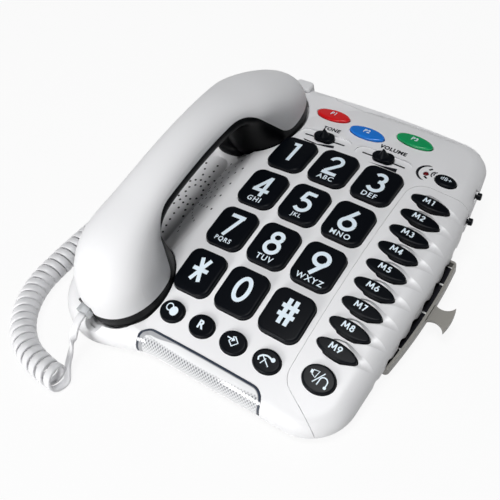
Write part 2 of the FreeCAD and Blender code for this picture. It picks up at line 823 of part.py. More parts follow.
# Keys, each with a collar that stops it under the wall and a stem over the rubber mat
under_wall = {depth: body_form(depth + under_wall_gap, deepest) for depth in (wall, inlay_depth)}
stem_low = mat_top_z + key_travel + stem_gap
key_solids = {}
panel_holes = []
deck_holes = []
for name, kind, size, at, turn in keys:
    proud = key_proud if kind == "square" else oval_proud
    edge = key_edge if kind == "square" else oval_edge
    depth = inlay_depth if in_panel(at) else wall
    hole = prism(key_outline(kind, size, at, turn, key_gap), -16.0, 10.0)
    deck_holes.append(hole)
    if in_panel(at):
        panel_holes.append(hole)
    low = deck_z(*at) - depth - under_wall_gap - flange_thick
    cap = prism(key_outline(kind, size, at, turn, 0.0), low, 12.0).common(crown(proud))
    cap = cap.makeFillet(edge, upper_edges(cap, low + 1.0))
    collar = prism(key_outline(kind, size, at, turn, flange), low, 12.0)
    collar = collar.common(under_wall[depth])
    if at[0] < 0:
        collar = collar.cut(liner_room)
    key = cap.fuse(collar)
    if stem_low < low:
        key = key.fuse(disc(stem_radius, at[0], at[1], stem_low, low + 0.5))
    key_solids[name] = key
casing = casing.cut(deck_holes)
memory_panel = memory_panel.cut(panel_holes)

save("top_housing", casing)
save("memory_panel", memory_panel)
save("light_lens", light_lens)
save("rear_panel", rear_panel)
for name, key in key_solids.items():
    save(name, key)
save("tone_slider", sliders[0])
save("volume_slider", sliders[1])
save("ringer_volume_knob", side_knobs[0])
save("ringer_tone_knob", side_knobs[1])

# Circuit board with its slide controls and switches, and the rubber mat over it
bx0, bx1, by0, by1 = board_edge
board = prism(rounded_rectangle(bx0, bx1, by0, by1, 5.0), board_low_z, board_top_z)
board = board.common(prism(body_outline(board_inset), deepest, 0.0))
mat = prism(rounded_rectangle(bx0 + 1.5, bx1 - 1.5, by0 + 12.0, by1 - 1.5, 5.0), board_top_z, mat_top_z)
mat = mat.common(prism(body_outline(board_inset + 1.5), deepest, 0.0))
pots = []
for side in (-1, 1):
    x = side * slider_x
    pots.append(block(x - control_size[0] / 2, x + control_size[0] / 2, slider_y - control_size[1] / 2,
                      slider_y + control_size[1] / 2, board_top_z, board_top_z + control_size[2]))
clear = 0.4
mat_cuts = [disc(post_radius + clear, x, y, board_low_z - 1, mat_top_z + 1) for x, y in post_at]
mat_cuts += [disc(boss_radius + clear, x, y, board_low_z - 1, mat_top_z + 1) for x, y in screw_at]
mat_cuts.append(disc(led_radius + clear, *led_at, board_low_z - 1, mat_top_z + 1))
for box in [pot.BoundBox for pot in pots] + [body.BoundBox for body in switch_boxes]:
    mat_cuts.append(block(box.XMin - clear, box.XMax + clear, box.YMin - clear, box.YMax + clear,
                          board_low_z - 1, mat_top_z + 1))
mat = mat.cut(mat_cuts)
board_cuts = [disc(pin_radius + pin_gap, x, y, board_low_z - 1, board_top_z + 1) for x, y in post_at]
board_cuts += [disc(boss_radius + clear, x, y, board_low_z - 1, board_top_z + 1) for x, y in screw_at]
board = board.cut(board_cuts).fuse(pots + switch_boxes)

# Light of the boost key and the row of lights behind the lens
deck_light = disc(led_radius, *led_at, board_top_z, deck_z(*led_at) + 0.2)
deck_light = deck_light.makeFillet(0.8, upper_edges(deck_light, -12.0))
lights = [deck_light]
for i in range(lens_leds):
    x = (i - (lens_leds - 1) / 2) * lens_led_pitch
    lights.append(disc(lens_led_radius, x, lens_led_y, board_top_z, lens_led_top))
leds = Part.makeCompound(lights)

# Loudspeaker against the underside of the finger valley's ramp
ramp_run = valley_mouth[1] - valley_floor[1]
ramp_rise = -valley_floor_z
ramp = math.atan2(ramp_rise, ramp_run)
under_z = valley_floor_z - wall + (speaker_x - valley_floor[1] - wall) * math.tan(ramp)
away = V(math.sin(ramp), 0, -math.cos(ramp))
seat_point = V(speaker_x, speaker_y, under_z)
basket = Part.makeCylinder(speaker_radius, speaker_depth, seat_point, away)
magnet = Part.makeCylinder(speaker_radius * 0.55, speaker_depth + magnet_depth, seat_point, away)
loudspeaker = basket.fuse(magnet)

# Hook plunger, its switch under it
plunger_top = ear_floor_z - 0.1
collar_top = ear_floor_z - wall - seat_gap - plunger_rise
plunger = disc(plunger_radius, *plunger_at, collar_top - 1.0, plunger_top)
plunger = plunger.makeFillet(1.2, upper_edges(plunger, plunger_top - 0.1))
plunger = plunger.fuse(disc(plunger_radius + 2.0, *plunger_at, collar_top - plunger_collar, collar_top))
switch_top = collar_top - plunger_collar - seat_gap
px, py = plunger_at
switch_x, switch_y, switch_high = hook_switch_size
switch_low = switch_top - switch_high
switch_plan = (px - switch_x / 2, px + switch_x / 2, py - switch_y / 2, py + switch_y / 2)
hook_switch = block(*switch_plan, switch_low, switch_top)
board = Part.makeCompound([board, hook_switch])

save("circuit_board", board)
save("key_mat", mat)
save("leds", leds)
save("loudspeaker", loudspeaker)
save("hook_plunger", plunger)

# Drawer for the index card
tray_low_z = tray_top_z - tray_depth
tray_front = tray_outer[0][1]
tray_back = tray_outer[2][1]
outer_edge = Part.Arc(*[V(x, y, 0) for x, y in tray_outer]).toShape()
tray_sides = Part.makePolygon([
    V(*tray_outer[2], 0), V(tray_inner_x, tray_back, 0),
    V(tray_inner_x, tray_front, 0), V(*tray_outer[0], 0)])
tray_plan = Part.Wire([outer_edge] + tray_sides.Edges)
tray = prism(tray_plan, tray_low_z, tray_top_z)
uprights = [edge for edge in tray.Edges if edge.BoundBox.ZLength > tray_depth - 0.1]
tray = tray.makeFillet(tray_corner, uprights)
tray = tray.cut(prism(tray_plan.makeOffset2D(-tray_wall), tray_low_z + tray_wall, tray_top_z + 1.0))
tab_root_x = tray_outer[1][0] - 0.8
tab_tip_x = tray_outer[1][0] + tab_reach
waist_x = tray_outer[1][0] + tab_reach * 0.35
root_low, root_high = V(tab_root_x, tab_y - tab_root / 2, 0), V(tab_root_x, tab_y + tab_root / 2, 0)
tip_low, tip_high = V(tab_tip_x, tab_y - tab_tip / 2, 0), V(tab_tip_x, tab_y + tab_tip / 2, 0)
pull = Part.Wire([
    Part.Arc(root_low, V(waist_x, tab_y - tab_waist / 2, 0), tip_low).toShape(),
    Part.Arc(tip_low, V(tab_tip_x + 1.2, tab_y, 0), tip_high).toShape(),
    Part.Arc(tip_high, V(waist_x, tab_y + tab_waist / 2, 0), root_high).toShape(),
    Part.LineSegment(root_high, root_low).toShape(),
])
tray = tray.fuse(prism(pull, tray_top_z - tab_drop - tab_thick, tray_top_z - tab_drop))
card_plan = tray_plan.makeOffset2D(-tray_wall - card_gap)
card = prism(card_plan, tray_low_z + tray_wall, tray_low_z + tray_wall + card_thick)
save("index_tray", tray)
save("index_card", card)


# Lower casing: a wedge that narrows towards the desk
def desk_slab(low, high):
    """A wide level slab between two heights over the desk, given in the deck frame."""
    slab = block(-300, 300, -300, 300, low - deck_height, high - deck_height)
    slab.rotate(V(0, 0, 0), V(1, 0, 0), -deck_tilt)
    return slab


def wedge(inset):
    """The tapering form under the rim, or its hollow."""
    taper = lower_depth * math.tan(math.radians(lower_draft))
    upper = body_outline(lower_inset + inset)
    upper.translate(V(0, 0, rim_z))
    lower = body_outline(lower_inset + inset + taper)
    lower.translate(V(0, 0, rim_z - lower_depth))
    return Part.makeLoft([upper, lower], True, True)


lower_outer = wedge(0.0).common(desk_slab(desk_clearance, 120.0))
lower_hollow = wedge(wall).common(desk_slab(desk_clearance + wall, 120.0))
lower = lower_outer.cut(lower_hollow)
ribs = []
for x, y in screw_at:
    ribs.append(disc(boss_radius, x, y, deepest, rim_z))
rail_end = right_front_x - 2.0
for side, edge_y in ((-1, tray_front), (1, tray_back)):
    near = edge_y + side * tray_gap
    guide = sorted((near, near + side * rail))
    shelf = sorted((near, near - side * rail_shelf))
    ribs.append(block(tray_inner_x - 8.0, rail_end, *guide, deepest, rim_z - tray_gap))
    ribs.append(block(tray_inner_x - 8.0, rail_end, *shelf, deepest, tray_low_z - tray_gap))
stop_x = tray_inner_x - tray_push - seat_gap
ribs.append(block(stop_x - rail, stop_x, tray_front, tray_back, deepest, tray_low_z + tray_wall))
ribs.append(block(*switch_plan, deepest, switch_low))
sx, sy, sz = socket_size
socket_low_z = socket_z - sz / 2
socket_plan = (socket_face_x, socket_face_x + sx, socket_y - sy / 2, socket_y + sy / 2)
ribs.append(block(*socket_plan, deepest, socket_low_z))
line_low_z = line_socket_z - sz / 2
line_socket_plan = (line_socket_x - sy / 2, line_socket_x + sy / 2, line_socket_y - sx, line_socket_y)
ribs.append(block(*line_socket_plan, deepest, line_low_z))
lower = lower.fuse([rib.common(lower_outer) for rib in ribs])
lower_cuts = [block(rail_end - 6.0, 110.0, tray_front - tray_gap, tray_back + tray_gap,
                    tray_low_z - tray_gap, rim_z + 1.0)]
lower_cuts.append(block(socket_face_x - 8.0, socket_face_x + 6.0, socket_y - sy / 2 - 0.1,
                        socket_y + sy / 2 + 0.1, socket_low_z, socket_z + sz / 2 + 0.1))
lower_cuts.append(block(line_socket_x - sy / 2 - 0.1, line_socket_x + sy / 2 + 0.1, line_socket_y - 6.0,
                        line_socket_y + 8.0, line_low_z, line_socket_z + sz / 2 + 0.1))
screws = []
for x, y in screw_at:
    seat = max(rim_z - screw_seat_depth, floor_z(y, desk_clearance) + wall + 0.5)
    lower_cuts.append(disc(screw_radius + screw_gap, x, y, deepest, rim_z + 1.0))
    lower_cuts.append(disc(screw_head_radius + screw_gap, x, y, deepest, seat))
    shank = disc(screw_radius, x, y, seat - 0.5, screw_tip_z)
    head = disc(screw_head_radius, x, y, seat - screw_head, seat)
    screws.append(shank.fuse(head))
foot_solids = []
for x, y in foot_at:
    foot = disc(foot_radius, x, y, 0.0, foot_height)
    foot = foot.makeFillet(1.0, [edge for edge in foot.Edges if edge.BoundBox.ZMax < 0.1])
    hole = disc(foot_radius + 0.1, x, y, -1.0, foot_height)
    hole.translate(V(0, 0, -deck_height))
    hole.rotate(V(0, 0, 0), V(1, 0, 0), -deck_tilt)
    lower_cuts.append(hole)
    foot.translate(V(centre_x, centre_y, 0))
    foot_solids.append(foot)
lower = lower.cut(lower_cuts)
save("bottom_housing", lower)
save("case_screws", Part.makeCompound(screws))
save_standing("rubber_feet", Part.makeCompound(foot_solids))

# Sockets in the lower casing and the plugs of the handset cord
length, across, high = plug_size
socket = block(*socket_plan, socket_low_z, socket_z + sz / 2)
socket = socket.cut(block(socket_face_x - 1.0, socket_face_x + length, socket_y - across / 2 - plug_gap,
                          socket_y + across / 2 + plug_gap, socket_z - high / 2,
                          socket_z + high / 2 + plug_gap))
base_plug = block(socket_face_x - plug_out, socket_face_x + length - 0.5, socket_y - across / 2,
                  socket_y + across / 2, socket_z - high / 2, socket_z + high / 2)
line_socket = block(*line_socket_plan, line_low_z, line_socket_z + sz / 2)
line_socket = line_socket.cut(block(line_socket_x - line_plug / 2, line_socket_x + line_plug / 2,
                                    line_socket_y - length, line_socket_y + 1.0,
                                    line_socket_z - high / 2 - 0.4, line_socket_z + high / 2 + 0.4))
save("handset_socket", socket)
save("line_socket", line_socket)
save("cord_plug_base", base_plug)

# Handset: an upper shell, a lower shell with the two caps, and what they hold
handset_outer = handset_form(0.0)
handset_inner = handset_form(grip_wall)
upper_space = above_parting()
jx, jy, jz = jack_size
jack_low = jack_z - jz / 2
jack_room = block(jack_x - jx / 2 - 0.1, jack_x + jx / 2 + 0.1, jack_face_y - 12.0, jack_face_y + 4.0,
                  jack_low - 0.1, jack_z + jz / 2 + 0.1)
jack_plan = (jack_x - jx / 2, jack_x + jx / 2)
jack_seat = block(*jack_plan, jack_face_y + 3.0, jack_face_y + jy, mouth_foot_z + 1.0, jack_low)
mouth_inner_z = mouth_foot_z + grip_wall
ear_inner_z = ear_foot_z + grip_wall
handset_wall = handset_outer.cut(handset_inner)
handset_shell = handset_wall.common(upper_space).cut(jack_room)
handset_base = handset_wall.cut(upper_space).fuse(jack_seat.cut(upper_space)).cut(jack_room)
sound_holes = []
for middle, floor in ((mouth_middle, mouth_foot_z), (ear_middle, ear_foot_z)):
    sound_holes.append(disc(sound_hole, handset_x, middle, floor - 1.0, floor + grip_wall + 1.0))
    for i in range(6):
        turn = math.radians(60 * i)
        sound_holes.append(disc(sound_hole, handset_x + 8.0 * math.cos(turn), middle + 8.0 * math.sin(turn),
                                floor - 1.0, floor + grip_wall + 1.0))
handset_base = handset_base.cut(sound_holes)
receiver = disc(receiver_radius, handset_x, ear_middle, ear_inner_z, ear_inner_z + receiver_thick)
magnet = disc(receiver_radius * 0.6, handset_x, ear_middle, ear_inner_z, ear_inner_z + receiver_thick + 3.0)
receiver = receiver.fuse(magnet)
microphone = disc(microphone_radius, handset_x, mouth_middle, mouth_inner_z, mouth_inner_z + microphone_thick)
jack = block(*jack_plan, jack_face_y, jack_face_y + jy, jack_low, jack_z + jz / 2)
jack = jack.cut(block(jack_x - across / 2 - plug_gap, jack_x + across / 2 + plug_gap, jack_face_y - 1.0,
                      jack_face_y + length, jack_z - high / 2, jack_z + high / 2 + plug_gap))
jack_plug = block(jack_x - across / 2, jack_x + across / 2, jack_face_y - plug_out - 1.2,
                  jack_face_y + length - 0.5, jack_z - high / 2, jack_z + high / 2)
save("handset_shell", handset_shell)
save("handset_base", handset_base)
save("receiver", receiver)
save("microphone", microphone)
save("handset_jack", jack)
save("cord_plug_handset", jack_plug)

# The handset cord, in the desk frame: flat lead, coil, flat tail
lead_route = [
    (-75.5, -110.0, 30.35), (-75.5, -113.8, 29.8), (-75.7, -118.8, 25.2), (-75.9, -123.0, 18.0),
    (-75.6, -127.2, 11.8), (-74.8, -132.6, 7.6), (-73.6, -138.2, 6.2),
]
coil_route = [
    (-68.0, -143.3, 8.6), (-95.0, -143.3, 8.6), (-121.0, -128.3, 8.6), (-136.0, -102.3, 8.6),
    (-137.5, -74.0, 8.6), (-137.2, -44.0, 8.6), (-135.2, -14.0, 8.6), (-132.0, 16.0, 8.6),
    (-130.6, 44.0, 8.6),
]
tail_route = [
    (-130.6, 44.0, 8.6), (-130.04, 55.2, 8.6), (-129.8, 66.5, 9.4), (-129.0, 77.0, 12.6),
    (-125.4, 85.4, 17.6), (-117.8, 88.2, 21.0), (-112.2, 88.2, 21.0),
]


def cord_tube(route, width):
    """A round tube along straight runs joined by tangent arcs as large as the runs allow."""
    points = [V(x + centre_x, y + centre_y, z) for x, y, z in route]
    edges = []
    here_point = points[0]
    for before, corner, after in zip(points, points[1:], points[2:]):
        back = before - corner
        onward = after - corner
        share = 0.45 * min(back.Length, onward.Length)
        back.normalize()
        onward.normalize()
        half = back.getAngle(onward) / 2
        radius = share * math.tan(half)
        middle = corner + (back + onward).normalize() * (radius / math.sin(half) - radius)
        edges.append(Part.LineSegment(here_point, corner + back * share).toShape())
        here_point = corner + onward * share
        edges.append(Part.Arc(corner + back * share, middle, here_point).toShape())
    edges.append(Part.LineSegment(here_point, points[-1]).toShape())
    path = Part.Wire(edges)
    section = Part.Wire([Part.Circle(points[0], points[1] - points[0], width / 2).toShape()])
    return path.makePipeShell([section], True, False)


save_standing("cord_lead", cord_tube(lead_route, cord_width))
save_standing("cord_coil", cord_tube(coil_route, coil_width))
save_standing("cord_tail", cord_tube(tail_route, cord_width))
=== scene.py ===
import math

import bpy
import numpy as np
from mathutils import Matrix, Vector
from mathutils.bvhtree import BVHTree


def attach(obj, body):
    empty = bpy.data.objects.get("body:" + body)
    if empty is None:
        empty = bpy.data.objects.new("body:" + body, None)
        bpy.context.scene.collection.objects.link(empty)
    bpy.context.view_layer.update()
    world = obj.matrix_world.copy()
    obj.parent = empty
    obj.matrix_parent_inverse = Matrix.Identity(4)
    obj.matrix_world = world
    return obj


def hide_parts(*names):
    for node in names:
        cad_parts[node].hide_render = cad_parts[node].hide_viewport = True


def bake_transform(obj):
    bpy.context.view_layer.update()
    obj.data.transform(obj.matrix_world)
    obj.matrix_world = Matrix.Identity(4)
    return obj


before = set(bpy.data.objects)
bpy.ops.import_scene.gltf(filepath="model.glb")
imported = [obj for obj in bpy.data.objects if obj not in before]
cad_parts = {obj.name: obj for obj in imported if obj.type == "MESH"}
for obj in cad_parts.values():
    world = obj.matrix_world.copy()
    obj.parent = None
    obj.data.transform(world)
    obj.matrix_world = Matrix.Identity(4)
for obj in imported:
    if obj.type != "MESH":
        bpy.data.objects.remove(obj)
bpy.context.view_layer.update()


# The camera stands where the photographer stood: in front of the telephone, to its right
# and above it, with a lens of normal length that looks down on the keypad.
eye = Vector((0.18424, -0.25119, 0.35339))
sight = Vector((-0.4476, 0.5127, -0.7326)).normalized()
across = Vector((0.8145, 0.5719, -0.0975)).normalized()
upright = across.cross(sight).normalized()
camera_data = bpy.data.cameras.new("camera")
camera_data.sensor_width = 36.0
camera_data.lens = 51.1
camera = bpy.data.objects.new("camera", camera_data)
bpy.context.scene.collection.objects.link(camera)
turn = Matrix((across, upright, -sight)).transposed().to_4x4()
camera.matrix_world = Matrix.Translation(eye) @ turn
bpy.context.scene.camera = camera


# Handset cord: one strip of soft white vinyl over four wires. It runs flat out of the
# mouthpiece, is wound into a springy coil on the desk, and runs flat into the left side.
cord_wide = 0.0050
cord_thick = 0.0022
coil_reach = 0.0071
coil_pitch = 0.0057
open_pitch = 0.0070
end_pitch = 0.0110
open_share = 0.30
closing_length = 0.020
turn_points = 18
coil_steps = 4000
first_turn = math.radians(232)
lead_flat_start = np.array([[0.0, -0.7, 0.8]])
lead_flat_end = np.array([[0.3, 0.75, -0.8]])
straight_up = np.array([[0.0, 0.0, 1.0]])
lead_route = [
    (-0.07002, -0.11712, 0.03035), (-0.07002, -0.12092, 0.0298), (-0.07022, -0.12592, 0.0252),
    (-0.07042, -0.13012, 0.0180), (-0.07012, -0.13432, 0.0118), (-0.06932, -0.13972, 0.0070),
    (-0.06812, -0.14532, 0.0038),
]
coil_route = [
    (-0.06452, -0.15042, 0.0086), (-0.08952, -0.15042, 0.0086), (-0.11552, -0.13542, 0.0086),
    (-0.13052, -0.10942, 0.0086), (-0.13202, -0.08112, 0.0086), (-0.13172, -0.05112, 0.0086),
    (-0.12972, -0.02112, 0.0086), (-0.12652, 0.00888, 0.0086), (-0.12512, 0.03688, 0.0086),
]
tail_route = [
    (-0.12512, 0.03688, 0.0086), (-0.12456, 0.04808, 0.0086), (-0.12432, 0.05938, 0.0094),
    (-0.12352, 0.06988, 0.0126), (-0.11992, 0.07828, 0.0176), (-0.11232, 0.08108, 0.0210),
    (-0.10672, 0.08108, 0.0210),
]


def points_of(mesh):
    """All the vertices of a mesh as rows of x, y, z."""
    flat = np.zeros(len(mesh.vertices) * 3)
    mesh.vertices.foreach_get("co", flat)
    return flat.reshape(-1, 3)


def smooth_line(route, name, fine):
    """The points along a route's smooth line, a spline of order 3 with the route as its control
    points. fine is how many points stand for each span."""
    curve = bpy.data.curves.new(name, "CURVE")
    curve.dimensions = "3D"
    curve.resolution_u = fine
    spline = curve.splines.new("NURBS")
    spline.points.add(len(route) - 1)
    spline.points.foreach_set("co", np.c_[np.array(route), np.ones(len(route))].ravel())
    spline.order_u = 3
    spline.use_endpoint_u = True
    holder = bpy.data.objects.new(name, curve)
    bpy.context.scene.collection.objects.link(holder)
    line = points_of(bpy.data.meshes.new_from_object(holder))
    bpy.data.objects.remove(holder)
    return line


def length_along(line):
    """Distance from the line's first point to each of its points."""
    return np.r_[0.0, np.cumsum(np.linalg.norm(np.diff(line, axis=0), axis=1))]


def at_lengths(line, wanted):
    """The points of a line at the wanted distances along it."""
    along = length_along(line)
    return np.stack([np.interp(wanted, along, line[:, i]) for i in range(3)], axis=1)


def unit(rows):
    """Rows scaled to length one."""
    return rows / np.linalg.norm(rows, axis=1, keepdims=True)


def strip_along(line, flat_way, wide, thick, ring=12):
    """A closed strip carried along a line. Its section is a rounded rectangle, a superellipse of power
    4: half the width times cos to the 1/2 across, and half the thickness times sin to the 1/2 along
    flat_way."""
    ahead = unit(np.gradient(line, axis=0))
    out = unit(flat_way - (flat_way * ahead).sum(1, keepdims=True) * ahead)
    side = np.cross(ahead, out)
    angle = np.arange(ring) * 2 * np.pi / ring
    wide_part = np.sign(np.cos(angle)) * np.abs(np.cos(angle)) ** 0.5 * wide / 2
    thick_part = np.sign(np.sin(angle)) * np.abs(np.sin(angle)) ** 0.5 * thick / 2
    rings = line[:, None] + side[:, None] * wide_part[:, None] + out[:, None] * thick_part[:, None]
    count = len(line)
    grid = np.arange(count * ring).reshape(count, ring)
    near, far = grid[:-1], grid[1:]
    quads = np.stack([near, np.roll(near, -1, 1), np.roll(far, -1, 1), far], axis=2).reshape(-1, 4)
    faces = quads.tolist() + [grid[0][::-1].tolist(), grid[-1].tolist()]
    return rings.reshape(-1, 3), faces


def piece(name, points, faces, finish, smooth=True):
    """A new piece with its place in its mesh, given a finish."""
    mesh = bpy.data.meshes.new(name)
    mesh.from_pydata(np.asarray(points).tolist(), [], faces)
    mesh.update()
    mesh.polygons.foreach_set("use_smooth", [smooth] * len(mesh.polygons))
    mesh.materials.append(finish)
    made = bpy.data.objects.new(name, mesh)
    bpy.context.scene.collection.objects.link(made)
    return made


def moulded(name, colour, shade, gloss, grain, relief):
    """Moulded plastic or rubber: a colour that drifts a little to a second shade, a fine grain in the
    surface, and gloss that varies with it. gloss holds the least and the most roughness, grain the
    size of the grain in metres and relief how strongly it shows."""
    finish = bpy.data.materials.new(name)
    finish.use_nodes = True
    nodes, links = finish.node_tree.nodes, finish.node_tree.links
    shader = nodes["Principled BSDF"]
    place = nodes.new("ShaderNodeTexCoord")
    drift = nodes.new("ShaderNodeTexNoise")
    drift.inputs["Scale"].default_value = 18.0
    drift.inputs["Detail"].default_value = 3.0
    mixed = nodes.new("ShaderNodeMix")
    mixed.data_type = "RGBA"
    mixed.inputs["A"].default_value = (*colour, 1.0)
    mixed.inputs["B"].default_value = (*shade, 1.0)
    fine = nodes.new("ShaderNodeTexNoise")
    fine.inputs["Scale"].default_value = 1.0 / grain
    fine.inputs["Detail"].default_value = 2.0
    polish = nodes.new("ShaderNodeMapRange")
    polish.inputs["From Min"].default_value = 0.25
    polish.inputs["From Max"].default_value = 0.75
    polish.inputs["To Min"].default_value = gloss[0]
    polish.inputs["To Max"].default_value = gloss[1]
    bump = nodes.new("ShaderNodeBump")
    bump.inputs["Strength"].default_value = relief
    bump.inputs["Distance"].default_value = 0.0002
    links.new(place.outputs["Object"], drift.inputs["Vector"])
    links.new(place.outputs["Object"], fine.inputs["Vector"])
    links.new(drift.outputs["Fac"], mixed.inputs["Factor"])
    links.new(mixed.outputs["Result"], shader.inputs["Base Color"])
    links.new(fine.outputs["Fac"], polish.inputs["Value"])
    links.new(polish.outputs["Result"], shader.inputs["Roughness"])
    links.new(fine.outputs["Fac"], bump.inputs["Height"])
    links.new(bump.outputs["Normal"], shader.inputs["Normal"])
    return finish


soft_vinyl = moulded("soft_vinyl", (0.80, 0.80, 0.81), (0.74, 0.74, 0.76), (0.30, 0.42), 0.0006, 0.06)
coil_line = smooth_line(coil_route, "coil_line", 16)
coil_length = length_along(coil_line)[-1]
steps = np.linspace(0.0, coil_length, coil_steps)
opened = np.clip(1.0 - steps / (open_share * coil_length), 0.0, 1.0)
left = np.clip((coil_length - steps) / closing_length, 0.0, 1.0)
drawn_in = left * left * (3 - 2 * left)
pitch = coil_pitch + (open_pitch - coil_pitch) * opened + (end_pitch - coil_pitch) * (1 - drawn_in)
turned = np.r_[0.0, np.cumsum(np.diff(steps) / pitch[1:])]
turns = np.arange(0.0, turned[-1], 1.0 / turn_points)
places = np.interp(turns, turned, steps)
axis_points = at_lengths(coil_line, places)
axis_ahead = unit(np.gradient(axis_points, axis=0))
axis_side = unit(np.cross(straight_up, axis_ahead))
phase = first_turn + 2 * np.pi * turns
winding = axis_side * np.cos(phase)[:, None] + straight_up * np.sin(phase)[:, None]
coil_points = axis_points + winding * (coil_reach * np.interp(places, steps, drawn_in))[:, None]
whole_route = np.concatenate([np.array(lead_route[:-1]), coil_points, np.array(tail_route[1:])])
cord_line = smooth_line(whole_route, "cord_line", 4)
lead_part = np.linspace(0.0, 1.0, len(lead_route) - 1)[:, None]
lead_flat = (1 - lead_part) * lead_flat_start + lead_part * lead_flat_end
tail_flat = np.tile(straight_up, (len(tail_route) - 1, 1))
route_flat = np.concatenate([lead_flat, winding, tail_flat])
route_share = np.linspace(0.0, 1.0, len(whole_route))
line_share = np.linspace(0.0, 1.0, len(cord_line))
flat_way = np.stack([np.interp(line_share, route_share, route_flat[:, i]) for i in range(3)], axis=1)
cord = piece("handset_cord", *strip_along(cord_line, unit(flat_way), cord_wide, cord_thick), soft_vinyl)
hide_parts("cord_lead", "cord_coil", "cord_tail")
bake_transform(cord)


# Lower casing, moulded in the same white plastic as the upper one, with rubber feet pressed
# into it and four screws that hold the two casings together from below.
def dress(names, finish):
    """Give the CAD nodes named a finish in place of their plain one."""
    for name in names:
        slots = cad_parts[name].data.materials
        slots.clear()
        slots.append(finish)


white_plastic = moulded("white_plastic", (0.84, 0.84, 0.85), (0.81, 0.81, 0.825), (0.38, 0.48), 0.0005, 0.03)
foot_rubber = moulded("foot_rubber", (0.05, 0.05, 0.052), (0.035, 0.035, 0.035), (0.6, 0.8), 0.0004, 0.2)
screw_steel = moulded("screw_steel", (0.45, 0.45, 0.46), (0.36, 0.36, 0.38), (0.25, 0.4), 0.0003, 0.05)
screw_steel.node_tree.nodes["Principled BSDF"].inputs["Metallic"].default_value = 1.0
dress(["bottom_housing"], white_plastic)
dress(["rubber_feet"], foot_rubber)
dress(["case_screws"], screw_steel)


# Sockets of black plastic in the lower casing and in the mouthpiece, and the two clear
# plugs of the handset cord that click into them.
def clear_moulding(name, colour, pass_light, rough):
    """A clear moulding with faint cloudiness in it."""
    finish = moulded(name, colour, tuple(0.92 * c for c in colour), rough, 0.0008, 0.03)
    shader = finish.node_tree.nodes["Principled BSDF"]
    shader.inputs["Transmission Weight"].default_value = pass_light
    shader.inputs["IOR"].default_value = 1.49
    return finish


socket_black = moulded("socket_black", (0.02, 0.02, 0.022), (0.012, 0.012, 0.014), (0.35, 0.5), 0.0004, 0.02)
clear_plug = clear_moulding("clear_plug", (0.86, 0.88, 0.90), 0.6, (0.08, 0.16))
dress(["handset_socket", "line_socket", "handset_jack"], socket_black)
dress(["cord_plug_handset", "cord_plug_base"], clear_plug)


# Inside the casing: the circuit board, the rubber mat of the keys, the red lights, the
# loudspeaker under the grille, and the spring plunger that the handset holds down. The
# receiver and the microphone, inside the handset, are cased in steel like the loudspeaker.
board_green = moulded("board_green", (0.02, 0.14, 0.06), (0.015, 0.10, 0.04), (0.3, 0.5), 0.0009, 0.15)
mat_rubber = moulded("mat_rubber", (0.50, 0.51, 0.50), (0.44, 0.45, 0.44), (0.5, 0.7), 0.0006, 0.1)
speaker_steel = moulded("speaker_steel", (0.42, 0.42, 0.43), (0.32, 0.32, 0.34), (0.3, 0.45), 0.0004, 0.1)
speaker_steel.node_tree.nodes["Principled BSDF"].inputs["Metallic"].default_value = 0.8
light_red = moulded("light_red", (0.16, 0.004, 0.008), (0.10, 0.002, 0.005), (0.08, 0.15), 0.0006, 0.02)
dress(["circuit_board"], board_green)
dress(["key_mat"], mat_rubber)
dress(["loudspeaker", "receiver", "microphone"], speaker_steel)
dress(["leds"], light_red)
dress(["hook_plunger"], white_plastic)


# Upper casing of white plastic, moulded in one piece with its crowned deck, the cradle of
# the handset and the finger valley. Two inlays of the same plastic lie flush in it. From
# here on, places over the deck are in millimetres, and places in a finish in metres.
dress(["top_housing", "memory_panel", "rear_panel"], white_plastic)
deck_radius_x = 562.0
deck_radius_y = 514.0
deck_tilt = math.radians(8.0)
deck_shift = (5.48, -7.12, 45.0)


def deck_surface(x, y, proud):
    """Height of the crowned deck, or of a surface a little above it, in millimetres: an arc of the
    first radius across, swung about an axis that lies the second radius below."""
    arc = np.sqrt((deck_radius_x + proud) ** 2 - x ** 2) - deck_radius_x
    return np.sqrt((deck_radius_y + arc) ** 2 - y ** 2) - deck_radius_y


def on_desk(x, y, z):
    """Points over the deck, in millimetres, turned by its tilt and carried to the desk, in metres."""
    back = y * math.cos(deck_tilt) - z * math.sin(deck_tilt)
    high = y * math.sin(deck_tilt) + z * math.cos(deck_tilt)
    return np.stack([x + deck_shift[0], back + deck_shift[1], high + deck_shift[2]], axis=-1) / 1000


# The loudspeaker sounds through small round holes in the floor of the finger valley, on rays and
# rings round its middle. Each hole is drawn as a dark disc a hair above the white floor: painted shade where
# the hole's mouth is dark.
painted_hole_shade = moulded("painted_hole_shade", (0.035, 0.036, 0.042), (0.025, 0.026, 0.03), (0.6, 0.8), 0.0004, 0.02)
hole_radius = 0.85
hole_sides = 14
hole_lift = 0.04
hole_middle = (-88.0, 9.0)
hole_rings = (6.4, 11.2, 16.2, 21.6, 27.0, 32.4, 37.8)
hole_rays = 18
ring_turn = 2.0
grille_sides = (-97.0, -54.5)
grille_ends = (-36.5, 40.5)
probe_height = -1.0
least_level = 0.6
straight_down = Vector((0.0, math.sin(deck_tilt), -math.cos(deck_tilt)))


def skin_of(node):
    """The surface of a CAD node, ready to be met by a ray."""
    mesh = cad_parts[node].data
    return BVHTree.FromPolygons(points_of(mesh).tolist(), [tuple(face.vertices) for face in mesh.polygons])


